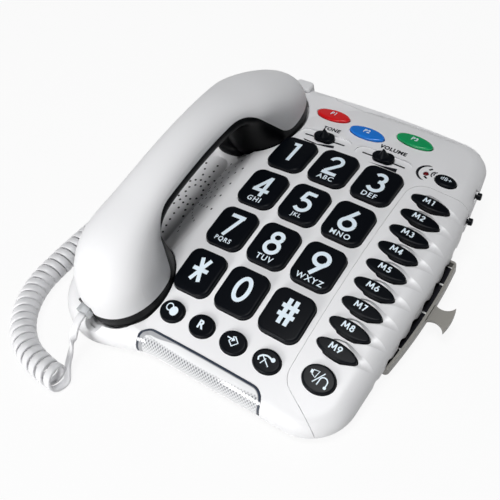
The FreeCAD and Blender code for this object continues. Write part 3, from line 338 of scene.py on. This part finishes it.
casing_skin = skin_of("top_housing")
round_angles = np.arange(hole_sides) * 2 * np.pi / hole_sides
hole_points, hole_faces = [], []
for ring, ring_radius in enumerate(hole_rings):
    for ray in range(0, hole_rays, 2 if ring == 0 else 1):
        angle = math.radians(ray * 360 / hole_rays + ring_turn * ring)
        x = hole_middle[0] + ring_radius * math.cos(angle)
        y = hole_middle[1] + ring_radius * math.sin(angle)
        if not (grille_sides[0] <= x <= grille_sides[1] and grille_ends[0] <= y <= grille_ends[1]):
            continue
        start = Vector(on_desk(x, y, probe_height))
        place, facing, _, _ = casing_skin.ray_cast(start, straight_down)
        if place is None or facing.dot(straight_down) > -least_level:
            continue
        across_hole = facing.orthogonal().normalized()
        up_hole = facing.cross(across_hole)
        rim = np.outer(np.cos(round_angles), across_hole) + np.outer(np.sin(round_angles), up_hole)
        first = hole_sides * len(hole_faces)
        hole_faces.append(list(range(first, first + hole_sides)))
        hole_points.append(np.array(place + facing * hole_lift / 1000) + hole_radius / 1000 * rim)
grille = piece("grille_hole_shades", np.concatenate(hole_points), hole_faces, painted_hole_shade, smooth=False)
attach(grille, "base")


# The window along the front edge is a clear moulding over the row of ringing lights. Its colour
# has painted shade along its rim and a painted reflection in a wedge that widens to the left; rows of small
# prisms on the inside scatter the light, drawn as dark dots under a painted shade that is darkest at the top
# and fades downward.
window_clear = clear_moulding("window_clear", (0.95, 0.955, 0.97), 0.15, (0.06, 0.12))
window_middle_x = -0.0005
window_half_x = 0.0435
window_back_y = -0.0946
window_corner = 0.008
rim_fade = (0.0017, 0.0012)
wedge_least = 0.0018
wedge_gain = 0.0020
wedge_run = (-0.016, -0.034)
wedge_share = 0.55
edge_soft = 0.0002
prism_wide = 0.0021
prism_tall = 0.0024
prism_edges = (-0.15, 0.45)
prism_low_fade = (-0.0235, -0.0125)
prism_high_fade = (-0.0112, -0.0122)
prism_share = 0.6
prism_ground = 0.2


def worked(kind, *given):
    """The result of one sum on the sockets and numbers given, in the nodes of the first socket."""
    tree = next(value.id_data for value in given if not isinstance(value, (int, float)))
    node = tree.nodes.new("ShaderNodeMath")
    node.operation = kind
    for place, value in enumerate(given):
        if isinstance(value, (int, float)):
            node.inputs[place].default_value = value
        else:
            tree.links.new(value, node.inputs[place])
    return node.outputs["Value"]


def between(value, low, high):
    """0 below low, 1 above high and a smooth rise between them, or the other way round."""
    node = value.id_data.nodes.new("ShaderNodeMapRange")
    node.interpolation_type = "SMOOTHSTEP"
    node.inputs["From Min"].default_value = low
    node.inputs["From Max"].default_value = high
    value.id_data.links.new(value, node.inputs["Value"])
    return node.outputs["Result"]


def deck_axes(finish):
    """The x, y and z of a point in the frame of the deck, in metres, as sockets of a finish."""
    nodes, links = finish.node_tree.nodes, finish.node_tree.links
    place = nodes.new("ShaderNodeTexCoord")
    to_deck = nodes.new("ShaderNodeMapping")
    shift_back = deck_shift[1] * math.cos(deck_tilt) + deck_shift[2] * math.sin(deck_tilt)
    shift_up = deck_shift[2] * math.cos(deck_tilt) - deck_shift[1] * math.sin(deck_tilt)
    to_deck.inputs["Rotation"].default_value = (-deck_tilt, 0.0, 0.0)
    to_deck.inputs["Location"].default_value = (-deck_shift[0] / 1000, -shift_back / 1000, -shift_up / 1000)
    axes = nodes.new("ShaderNodeSeparateXYZ")
    links.new(place.outputs["Object"], to_deck.inputs["Vector"])
    links.new(to_deck.outputs["Vector"], axes.inputs["Vector"])
    return [axes.outputs[name] for name in "XYZ"]


def stain(finish, share, colour):
    """Lay a second colour over a finish where share is 1."""
    nodes, links = finish.node_tree.nodes, finish.node_tree.links
    shader = nodes["Principled BSDF"]
    plain = shader.inputs["Base Color"].links[0].from_socket
    laid = nodes.new("ShaderNodeMix")
    laid.data_type = "RGBA"
    laid.inputs["B"].default_value = (*colour, 1.0)
    links.new(share, laid.inputs["Factor"])
    links.new(plain, laid.inputs["A"])
    links.new(laid.outputs["Result"], shader.inputs["Base Color"])


window_x, window_y, window_z = deck_axes(window_clear)
off_middle = worked("ABSOLUTE", worked("SUBTRACT", window_x, window_middle_x))
past_side = worked("MAXIMUM", worked("SUBTRACT", off_middle, window_half_x - window_corner), 0.0)
past_back = worked("MAXIMUM", worked("SUBTRACT", window_y, window_back_y - window_corner), 0.0)
side_square = worked("MULTIPLY", past_side, past_side)
back_square = worked("MULTIPLY", past_back, past_back)
rim_way = worked("SUBTRACT", window_corner, worked("SQRT", worked("ADD", side_square, back_square)))
rim_painted_shade = between(rim_way, *rim_fade)
wedge_wide = worked("ADD", wedge_least, worked("MULTIPLY", wedge_gain, between(window_x, *wedge_run)))
past_wedge = worked("SUBTRACT", rim_way, wedge_wide)
wedge_painted_reflection = worked("MULTIPLY", between(past_wedge, edge_soft, -edge_soft), wedge_share)
prism_across = worked("SINE", worked("MULTIPLY", window_x, 2 * math.pi / prism_wide))
prism_down = worked("SINE", worked("MULTIPLY", window_z, 2 * math.pi / prism_tall))
prism_spots = between(worked("MULTIPLY", prism_across, prism_down), *prism_edges)
prism_tone = worked("ADD", worked("MULTIPLY", prism_spots, prism_share), prism_ground)
prism_fade = worked("MULTIPLY", between(window_z, *prism_low_fade), between(window_z, *prism_high_fade))
prism_painted_shade = worked("MULTIPLY", prism_tone, prism_fade)
window_painted_shade = worked("MAXIMUM", rim_painted_shade, worked("MAXIMUM", wedge_painted_reflection, prism_painted_shade))
# The stain paints the window darker: painted shade along the rim, a painted reflection in the wedge, and the
# prism dots under a painted shade
stain(window_clear, window_painted_shade, (0.05, 0.06, 0.085))
dress(["light_lens"], window_clear)


# The keys are black plastic caps with rounded edges; each sinks two millimetres on its
# rubber dome. Three speed keys at the back are red, blue and green.
def shine(finish, level):
    """Set how strongly a finish reflects at a straight look."""
    finish.node_tree.nodes["Principled BSDF"].inputs["Specular IOR Level"].default_value = level


key_black = moulded("key_black", (0.0016, 0.0024, 0.0038), (0.0028, 0.0038, 0.0062), (0.30, 0.38),
                    0.0005, 0.03)
shine(key_black, 0.09)
speed_colours = {"p1": (0.78, 0.008, 0.010), "p2": (0.012, 0.20, 0.74), "p3": (0.004, 0.35, 0.11)}
digit_names = ("1", "2", "3", "4", "5", "6", "7", "8", "9", "star", "0", "hash")
function_names = ("mute", "recall", "redial", "flash")
black_keys = list(digit_names + function_names) + [f"m{i}" for i in range(1, 10)] + ["handsfree", "boost"]
dress(["key_" + name for name in black_keys], key_black)
for name, colour in speed_colours.items():
    shade = tuple(0.85 * c for c in colour)
    dress(["key_" + name], moulded("key_colour_" + name, colour, shade, (0.16, 0.26), 0.0005, 0.03))


# The legends are printed on the keys in pale ink. Digits and signs are drawn as strokes of
# one width, the way a geometric letter is built from arcs and straight bars.
key_pitch_x = 31.0
key_pitch_y = 35.0
key_proud = 3.4
oval_proud = 1.9
ink_lift = 0.07


def arc_line(x, y, radius, start, end, steps=20, tall=None):
    """Points on an arc between two angles in degrees; tall makes it an ellipse."""
    angle = np.radians(np.linspace(start, end, steps))
    return np.stack([x + radius * np.cos(angle), y + (tall or radius) * np.sin(angle)], axis=1)


def bar(*points):
    """A line through points."""
    return np.array(points, float)


def stroke(line, width):
    """Flat quads along a line: each point is set half the width to both sides, square to the line."""
    line = np.asarray(line, float)
    ahead = unit(np.gradient(line, axis=0))
    side = np.stack([-ahead[:, 1], ahead[:, 0]], axis=1) * width / 2
    count = len(line)
    points = np.concatenate([line + side, line - side])
    faces = [[i, i + count, i + count + 1, i + 1] for i in range(count - 1)]
    return points, faces


def filled(outline):
    """One flat face inside an outline that runs round to the left."""
    return np.asarray(outline, float), [list(range(len(outline)))]


def dot(x, y, radius, sides=20):
    """One flat round face."""
    return filled(arc_line(x, y, radius, 0, 360, sides)[:-1])


def letters(words, tall, bold=0.018, spacing=1.22):
    """Flat faces of a word in plain capitals, centred, with letters of that height."""
    curve = bpy.data.curves.new("word", "FONT")
    curve.body = words
    curve.offset = bold
    curve.resolution_u = 4
    curve.space_character = spacing
    holder = bpy.data.objects.new("word", curve)
    bpy.context.scene.collection.objects.link(holder)
    mesh = bpy.data.meshes.new_from_object(holder)
    bpy.data.objects.remove(holder)
    points = points_of(mesh)[:, :2]
    low, high = points.min(0), points.max(0)
    points = (points - (low + high) / 2) * tall / (high - low)[1]
    faces = [list(face.vertices) for face in mesh.polygons]
    bpy.data.meshes.remove(mesh)
    return points, faces


def moved(shape, x, y, turn=0.0, size=1.0):
    """A flat shape scaled, turned by an angle in degrees and set down at a place."""
    points, faces = shape
    angle = math.radians(turn)
    spin = np.array([[math.cos(angle), math.sin(angle)], [-math.sin(angle), math.cos(angle)]])
    return points * size @ spin + np.array([x, y]), faces


def printed(name, shapes, proud, ink, body):
    """Ink on the deck or on a key: flat shapes laid on the crowned surface, a hair above it."""
    points, faces, start = [], [], 0
    for shape_points, shape_faces in shapes:
        points.append(shape_points)
        faces += [[i + start for i in face] for face in shape_faces]
        start += len(shape_points)
    x, y = np.concatenate(points).T
    made = piece(name, on_desk(x, y, deck_surface(x, y, proud) + ink_lift), faces, ink, smooth=False)
    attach(made, body)
    return made


def legend(name, shapes, proud):
    """The legend of one key, which rides on the key's body."""
    printed("legend_" + name, shapes, proud, pale_ink, f"key_{name}_button")


def along_crown(distance):
    """The y of a point that far along the crown from its top."""
    return deck_radius_y * math.sin(distance / deck_radius_y)


pale_ink = moulded("pale_ink", (0.78, 0.88, 0.95), (0.72, 0.82, 0.90), (0.4, 0.5), 0.0003, 0.02)
digit_tall = 17.0
digit_wider = np.array([1.08, 1.0])
digit_stroke = 0.155
digit_shift = (0.3, 0.8)
digit_strokes = {
    "1": [bar((0.03, -0.5), (0.03, 0.5)), bar((0.10, 0.435), (-0.17, 0.435), (-0.171, 0.434))],
    "2": [np.concatenate([arc_line(0.0, 0.215, 0.215, 175, -38), bar((-0.20, -0.36))]),
          bar((-0.27, -0.425), (0.28, -0.425))],
    "3": [arc_line(0.0, 0.235, 0.19, 150, -90), arc_line(0.0, -0.175, 0.245, 90, -155)],
    "4": [bar((0.10, 0.46), (-0.24, -0.18)), bar((-0.32, -0.215), (0.32, -0.215)),
          bar((0.10, 0.50), (0.10, -0.50))],
    "5": [bar((0.25, 0.425), (-0.13, 0.425)), bar((-0.10, 0.44), (-0.17, 0.04)),
          arc_line(-0.02, -0.165, 0.255, 128, -145)],
    "6": [bar((0.13, 0.48), (-0.20, -0.06)), arc_line(0.0, -0.175, 0.245, 0, 360, 40)],
    "7": [bar((-0.27, 0.425), (0.27, 0.425)), bar((0.19, 0.42), (-0.13, -0.49))],
    "8": [arc_line(0.0, 0.245, 0.180, 0, 360, 36), arc_line(0.0, -0.180, 0.240, 0, 360, 40)],
    "9": [bar((-0.13, -0.48), (0.20, 0.06)), arc_line(0.0, 0.175, 0.245, 0, 360, 40)],
    "0": [arc_line(0.0, 0.0, 0.225, 0, 360, 44, 0.425)],
    "star": [bar((-0.17, -0.46), (0.17, 0.46)), bar((0.17, -0.46), (-0.17, 0.46)),
             bar((-0.30, 0.0), (0.30, 0.0))],
    "hash": [bar((-0.10, -0.48), (-0.10, 0.48)), bar((0.13, -0.48), (0.13, 0.48)),
             bar((-0.28, -0.14), (0.30, -0.14)), bar((-0.28, 0.17), (0.30, 0.17))],
}
letters_tall = 3.8
letters_shift = (0.4, -10.6)
digit_letters = {
    "2": "ABC", "3": "DEF", "4": "GHI", "5": "JKL", "6": "MNO", "7": "PQRS", "8": "TUV", "9": "WXYZ",
}
for i, name in enumerate(digit_names):
    key_x = (i % 3 - 1) * key_pitch_x
    key_y = along_crown((1.5 - i // 3) * key_pitch_y)
    x, y = key_x + digit_shift[0], key_y + digit_shift[1]
    shapes = [moved(stroke(line * digit_wider, digit_stroke), x, y, size=digit_tall)
              for line in digit_strokes[name]]
    if name in digit_letters:
        x, y = key_x + letters_shift[0], key_y + letters_shift[1]
        shapes.append(moved(letters(digit_letters[name], letters_tall), x, y))
    legend(name, shapes, key_proud)

memory_turn = -3.0
memory_first_y = 56.1
memory_pitch = 14.1
memory_tall = 4.0
memory_stroke = 0.20
memory_letter = (62.7, 0.7)
memory_digit = (66.8, 0.45)
letter_m = [bar((-0.46, -0.5), (-0.33, 0.5)), bar((-0.35, 0.5), (0.0, -0.3)),
            bar((0.0, -0.3), (0.35, 0.5)), bar((0.33, 0.5), (0.46, -0.5))]
for i in range(9):
    key_y = along_crown(memory_first_y - i * memory_pitch)
    shapes = []
    for lines, (x, rise) in ((letter_m, memory_letter), (digit_strokes[str(i + 1)], memory_digit)):
        shapes += [moved(stroke(line, memory_stroke), x, key_y + rise, memory_turn, memory_tall)
                   for line in lines]
    legend(f"m{i + 1}", shapes, oval_proud)
speed_places = {"p1": (-29.7, 102.8, "red"), "p2": (0.7, 95.2, "blue"), "p3": (31.3, 103.6, "green")}
for name, (x, y, colour) in speed_places.items():
    word = moved(letters(name.upper(), 3.4, 0.03, 1.1), x, y, memory_turn)
    legend(name, [word], oval_proud)

# Signs of the round keys: two discs for mute, an arrow into a lozenge for redial, a receiver
# and an arrow for flash, and a loudspeaker beside a receiver for hands-free
mute_sign = [stroke(arc_line(-2.3, 1.0, 2.2, 0, 360, 32), 0.7), dot(1.5, -0.4, 2.9, 32)]
redial_sign = [
    stroke(bar((-1.2, 2.2), (0.2, 2.8), (3.4, 0.2), (0.6, -2.8), (-2.4, -0.6), (-1.7, 0.4)), 0.75),
    stroke(bar((-4.3, 1.0), (-0.6, 0.9)), 0.75),
    filled([(-0.9, 2.4), (-0.9, -0.6), (1.1, 0.9)]),
]
flash_back = np.concatenate([bar((-4.2, -2.2)), arc_line(-0.4, -3.2, 5.2, 150, 55, 16), bar((3.9, 2.4))])
flash_sign = [
    stroke(flash_back, 1.0),
    dot(3.4, 1.4, 1.3),
    stroke(bar((-3.6, 1.6), (2.6, -3.2)), 0.6),
    stroke(bar((-2.4, -3.4), (-0.6, 0.4)), 0.6),
]
function_signs = {
    "mute": mute_sign, "recall": [letters("R", 5.2, 0.04)], "redial": redial_sign, "flash": flash_sign,
}
function_y = -80.2
for name, x in zip(function_names, (-32.4, -10.1, 12.2, 34.9)):
    legend(name, [moved(shape, x, function_y) for shape in function_signs[name]], oval_proud)
receiver_back = np.concatenate([bar((0.6, -3.6)), arc_line(3.2, -0.6, 2.3, 190, -10, 16), bar((5.4, -2.8))])
speaker_sign = [
    filled([(-5.6, 0.6), (-4.4, 0.6), (-4.4, 2.6), (-5.6, 2.6)]),
    stroke(bar((-4.3, 0.4), (-2.0, -0.8), (-1.0, 3.4), (-4.3, 2.8), (-4.3, 0.4)), 0.6),
    stroke(bar((-2.2, -3.4), (2.2, 3.8)), 0.6),
    stroke(receiver_back, 0.7),
    dot(5.3, -3.2, 0.9, 16),
]
legend("handsfree", [moved(shape, 64.6, -75.0) for shape in speaker_sign], oval_proud)
legend("boost", [moved(letters("dB+", 2.9, 0.01, 1.1), 64.6, 79.3, memory_turn)], oval_proud)


# Tone and volume slide in shallow oval recesses. Their names are printed behind them and a
# wedge in front shows which way is more. Marks round the red light show ringing.
dress(["tone_slider", "volume_slider", "ringer_volume_knob", "ringer_tone_knob"], key_black)
# This dark finish serves the printed marks, and also the painted shade in the slider slits and along the
# drawer's card
dark_ink_and_shade = moulded("dark_ink_and_shade", (0.008, 0.008, 0.012), (0.014, 0.014, 0.018), (0.4, 0.5), 0.0003, 0.02)
shine(dark_ink_and_shade, 0.10)
tone_wedge = [(-35.0, 71.4), (-32.9, 69.9), (-22.7, 69.1), (-15.7, 69.6), (-10.9, 70.6), (-11.7, 73.0),
              (-23.4, 70.0)]
volume_wedge = [(15.2, 69.9), (22.0, 69.7), (28.0, 69.5), (35.0, 69.4), (34.4, 72.9), (23.6, 70.6)]
crescent = np.concatenate([arc_line(52.3, 79.6, 7.6, 103, 257, 24), arc_line(53.5, 79.6, 7.0, 262, 98, 24)])
marks = [
    moved(letters("TONE", 3.6, 0.05, 1.1), -22.3, 87.7),
    moved(letters("VOLUME", 3.6, 0.05, 1.1), 23.8, 87.9),
    filled(tone_wedge),
    filled(volume_wedge),
    filled(crescent),
    stroke(bar((51.6, 82.7), (52.4, 83.9), (53.2, 84.8)), 1.3),
    stroke(bar((51.2, 76.4), (52.4, 75.5), (53.6, 75.1)), 1.3),
    stroke(arc_line(57.6, 80.4, 3.3, 125, 232, 10), 0.85),
    stroke(arc_line(58.9, 81.0, 3.1, 125, 205, 10), 0.75),
]
printed("deck_marks", marks, 0.0, dark_ink_and_shade, "base")

# Each slide control moves in a slit along the floor of its recess; a dark strip a little under the floor is
# painted shade inside the slit
slit_middles = (-22.0, 22.0)
slit_reach = 15.2
slit_probes = (75.9, 79.3)
slit_half_width = 0.66
slit_depth = 0.2
slit_probe_height = 2.0
slit_shade_points, slit_shade_faces = [], []
for middle_x in slit_middles:
    for x in (middle_x - slit_reach, middle_x + slit_reach):
        starts = [Vector(on_desk(x, y, slit_probe_height)) for y in slit_probes]
        front, back = [casing_skin.ray_cast(start, straight_down)[0] for start in starts]
        floor_middle = (front + back) / 2 + straight_down * slit_depth / 1000
        half_slit = (back - front).normalized() * slit_half_width / 1000
        slit_shade_points += [tuple(floor_middle - half_slit), tuple(floor_middle + half_slit)]
    start = len(slit_shade_points) - 4
    slit_shade_faces.append([start, start + 2, start + 3, start + 1])
slit_shades = piece("slider_slit_shades", slit_shade_points, slit_shade_faces, dark_ink_and_shade, smooth=False)
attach(slit_shades, "base")


# Drawer of grey plastic under the right side, with a fish-tail tab to pull, and the white card in it
# for names and numbers. Four dark strips along the card's outer edge are painted shade of the tray's recess,
# with light gaps between them.
tray_grey = moulded("tray_grey", (0.30, 0.29, 0.265), (0.26, 0.25, 0.23), (0.35, 0.5), 0.0005, 0.08)
card_white = moulded("card_white", (0.82, 0.82, 0.80), (0.76, 0.76, 0.74), (0.6, 0.8), 0.0004, 0.1)
dress(["index_tray"], tray_grey)
dress(["index_card"], card_white)
card_skin = skin_of("index_card")
# The strips below are painted shade on the card where the tray's recess is shaded
shade_strip_z = -28.54
shade_strip_wide = 11.0
shade_strip_margin = 0.15
shade_strip_spans = ((-44.3, -30.0), (-28.9, -2.4), (-1.2, 19.8), (21.0, 33.3))
shade_strip_steps = 9
beyond_card_x = 125.0
card_probe_drop = 0.3
shade_strip_points, shade_strip_faces = [], []
for span in shade_strip_spans:
    for y in np.linspace(*span, shade_strip_steps):
        start = Vector(on_desk(beyond_card_x, y, shade_strip_z - card_probe_drop))
        edge = card_skin.ray_cast(start, Vector((-1.0, 0.0, 0.0)))[0]
        edge_x = edge.x * 1000 - deck_shift[0] - shade_strip_margin
        shade_strip_points += [on_desk(edge_x - shade_strip_wide, y, shade_strip_z), on_desk(edge_x, y, shade_strip_z)]
    start = len(shade_strip_points) - 2 * shade_strip_steps
    shade_strip_faces += [[start + 2 * i, start + 2 * i + 1, start + 2 * i + 3, start + 2 * i + 2]
                      for i in range(shade_strip_steps - 1)]
recess_shade = piece("card_recess_shade", shade_strip_points, shade_strip_faces, dark_ink_and_shade, smooth=False)
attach(recess_shade, "drawer")


# Handset: a white shell on top, and a black shell below it that carries the two caps over
# the receiver and the microphone. The white shell is black along its lower edge too.
black_plastic = moulded("black_plastic", (0.0014, 0.0017, 0.0024), (0.0022, 0.0026, 0.0036), (0.30, 0.40),
                        0.0005, 0.03)
shine(black_plastic, 0.08)
dress(["handset_base"], black_plastic)
shell_plastic = moulded("shell_plastic", (0.84, 0.84, 0.85), (0.81, 0.81, 0.825), (0.42, 0.52), 0.0005, 0.03)
shine(shell_plastic, 0.10)
shell_end = 130.0
edge_low, edge_high = -10.0, 50.0
edge_corners = [
    (-shell_end, -0.8, 0.0), (-62.2, -0.8, 6.4), (-50.0, 39.1, 15.5), (0.0, 39.9, 0.0),
    (40.3, 38.8, 27.8), (67.1, -0.8, 14.8), (shell_end, -0.8, 0.0),
]


def rounded(corners, steps=8):
    """Points along the lines through corners of y, z and radius, each corner an arc tangent to both."""
    line = []
    for i, (y, z, radius) in enumerate(corners):
        corner = Vector((y, z))
        if radius == 0.0:
            line.append(corner)
            continue
        before = (Vector(corners[i - 1][:2]) - corner).normalized()
        after = (Vector(corners[i + 1][:2]) - corner).normalized()
        half = before.angle(after) / 2
        middle = corner + (before + after).normalized() * radius / math.sin(half)
        first = corner + before * radius / math.tan(half) - middle
        last = corner + after * radius / math.tan(half) - middle
        line += [middle + radius * first.slerp(last, share) for share in np.linspace(0.0, 1.0, steps)]
    return line


shell_y, shell_z = deck_axes(shell_plastic)[1:]
edge_height = shell_plastic.node_tree.nodes.new("ShaderNodeFloatCurve")
edge_points = edge_height.mapping.curves[0].points
edge_spots = [((point.x + shell_end) / (2 * shell_end), (point.y - edge_low) / (edge_high - edge_low))
              for point in rounded(edge_corners)]
edge_points[0].location = edge_spots[0]
edge_points[1].location = edge_spots[-1]
for spot in edge_spots[1:-1]:
    edge_points.new(*spot)
for point in edge_points:
    point.handle_type = "VECTOR"
edge_height.mapping.update()
along_handset = worked("DIVIDE", worked("ADD", shell_y, shell_end / 1000), 2 * shell_end / 1000)
shell_plastic.node_tree.links.new(along_handset, edge_height.inputs["Value"])
edge_rise = worked("MULTIPLY", edge_height.outputs["Value"], (edge_high - edge_low) / 1000)
above_edge = worked("SUBTRACT", shell_z, worked("ADD", edge_rise, edge_low / 1000))
stain(shell_plastic, between(above_edge, edge_soft, -edge_soft), (0.0016, 0.002, 0.003))
dress(["handset_shell"], shell_plastic)

# The front lip of the ear cap hangs a little way out over the finger valley
lip_middle = (-81.0, 49.5)
lip_half = (11.0, 6.6)
lip_levels = [(-15.9, 0.86), (-15.3, 0.94), (-14.2, 0.99), (-12.5, 1.0), (-6.0, 1.0)]
lip_sides = 28
lip_power = 0.75
lip_angles = np.arange(lip_sides) * 2 * np.pi / lip_sides
lip_x = lip_half[0] * np.sign(np.cos(lip_angles)) * np.abs(np.cos(lip_angles)) ** lip_power
lip_y = lip_half[1] * np.sign(np.sin(lip_angles)) * np.abs(np.sin(lip_angles)) ** lip_power
lip_points = np.concatenate([on_desk(lip_middle[0] + share * lip_x, lip_middle[1] + share * lip_y, level)
                             for level, share in lip_levels])
lip_faces = []
for row in range(len(lip_levels) - 1):
    for i in range(lip_sides):
        near, beside = row * lip_sides + i, row * lip_sides + (i + 1) % lip_sides
        lip_faces.append([near, beside, beside + lip_sides, near + lip_sides])
lip_faces.append(list(range(lip_sides))[::-1])
lip_faces.append(list(range(len(lip_points) - lip_sides, len(lip_points))))
ear_lip = piece("ear_lip", lip_points, lip_faces, black_plastic)
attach(ear_lip, "handset")


# The studio: a plain pale floor, one soft lamp high over the keypad, a weaker one low in
# front of the handset, and a pale surround that is dark overhead.
def soft_lamp(name, place, size, power, tint):
    """A square soft lamp that looks at the telephone."""
    data = bpy.data.lights.new(name, "AREA")
    data.shape = "SQUARE"
    data.size = size
    data.energy = power
    data.color = tint
    lamp = bpy.data.objects.new(name, data)
    bpy.context.scene.collection.objects.link(lamp)
    aim = Vector(lamp_target) - Vector(place)
    lamp.matrix_world = Matrix.Translation(place) @ aim.to_track_quat("-Z", "Y").to_matrix().to_4x4()


lamp_target = (0.0, 0.0, 0.03)
soft_lamp("lamp_high", (0.13, -0.365, 1.45), 0.5, 15.5, (0.99, 0.995, 1.0))
soft_lamp("lamp_front", (-0.155, -0.87, 0.155), 0.25, 4.4, (1.0, 0.995, 0.985))

floor_half = 4.0
floor_glow_share = 0.92
floor_finish = bpy.data.materials.new("floor_finish")
floor_finish.use_nodes = True
floor_nodes, floor_links = floor_finish.node_tree.nodes, floor_finish.node_tree.links
floor_shader = floor_nodes["Principled BSDF"]
floor_shader.inputs["Base Color"].default_value = (0.78, 0.78, 0.78, 1.0)
floor_shader.inputs["Roughness"].default_value = 0.9
shine(floor_finish, 0.1)
floor_glow = floor_nodes.new("ShaderNodeEmission")
floor_glow.inputs["Color"].default_value = (1.0, 1.0, 1.0, 1.0)
floor_rays = floor_nodes.new("ShaderNodeLightPath").outputs
floor_mix = floor_nodes.new("ShaderNodeMixShader")
floor_seen = worked("MAXIMUM", floor_rays["Is Camera Ray"], floor_rays["Is Glossy Ray"])
floor_seen = worked("MAXIMUM", floor_seen, floor_rays["Is Transmission Ray"])
floor_links.new(worked("MULTIPLY", floor_seen, floor_glow_share), floor_mix.inputs["Fac"])
floor_links.new(floor_shader.outputs["BSDF"], floor_mix.inputs[1])
floor_links.new(floor_glow.outputs["Emission"], floor_mix.inputs[2])
floor_links.new(floor_mix.outputs["Shader"], floor_nodes["Material Output"].inputs["Surface"])
floor_corners = [(floor_half * x, floor_half * y, 0.0) for x, y in ((-1, -1), (1, -1), (1, 1), (-1, 1))]
floor = piece("floor", floor_corners, [[0, 1, 2, 3]], floor_finish)

world = bpy.data.worlds.new("surround")
bpy.context.scene.world = world
world.use_nodes = True
world_nodes, world_links = world.node_tree.nodes, world.node_tree.links
surround = world_nodes["Background"]
surround.inputs["Strength"].default_value = 1.0
world_rays = world_nodes.new("ShaderNodeLightPath").outputs
direction = world_nodes.new("ShaderNodeTexCoord")
height = world_nodes.new("ShaderNodeSeparateXYZ")
overhead = world_nodes.new("ShaderNodeMix")
overhead.data_type = "RGBA"
overhead.inputs["A"].default_value = (0.010, 0.011, 0.012, 1.0)
overhead.inputs["B"].default_value = (0.06, 0.06, 0.065, 1.0)
shown = world_nodes.new("ShaderNodeMix")
shown.data_type = "RGBA"
shown.inputs["B"].default_value = (1.0, 1.0, 1.0, 1.0)
world_links.new(direction.outputs["Generated"], height.inputs["Vector"])
mirrored = worked("MULTIPLY", between(height.outputs["Z"], 0.62, 0.05), world_rays["Is Glossy Ray"])
world_seen = worked("MAXIMUM", world_rays["Is Camera Ray"], mirrored)
world_seen = worked("MAXIMUM", world_seen, world_rays["Is Transmission Ray"])
world_links.new(world_rays["Is Glossy Ray"], overhead.inputs["Factor"])
world_links.new(world_seen, shown.inputs["Factor"])
world_links.new(overhead.outputs["Result"], shown.inputs["A"])
world_links.new(shown.outputs["Result"], surround.inputs["Color"])
bpy.context.scene.view_settings.view_transform = "Standard"
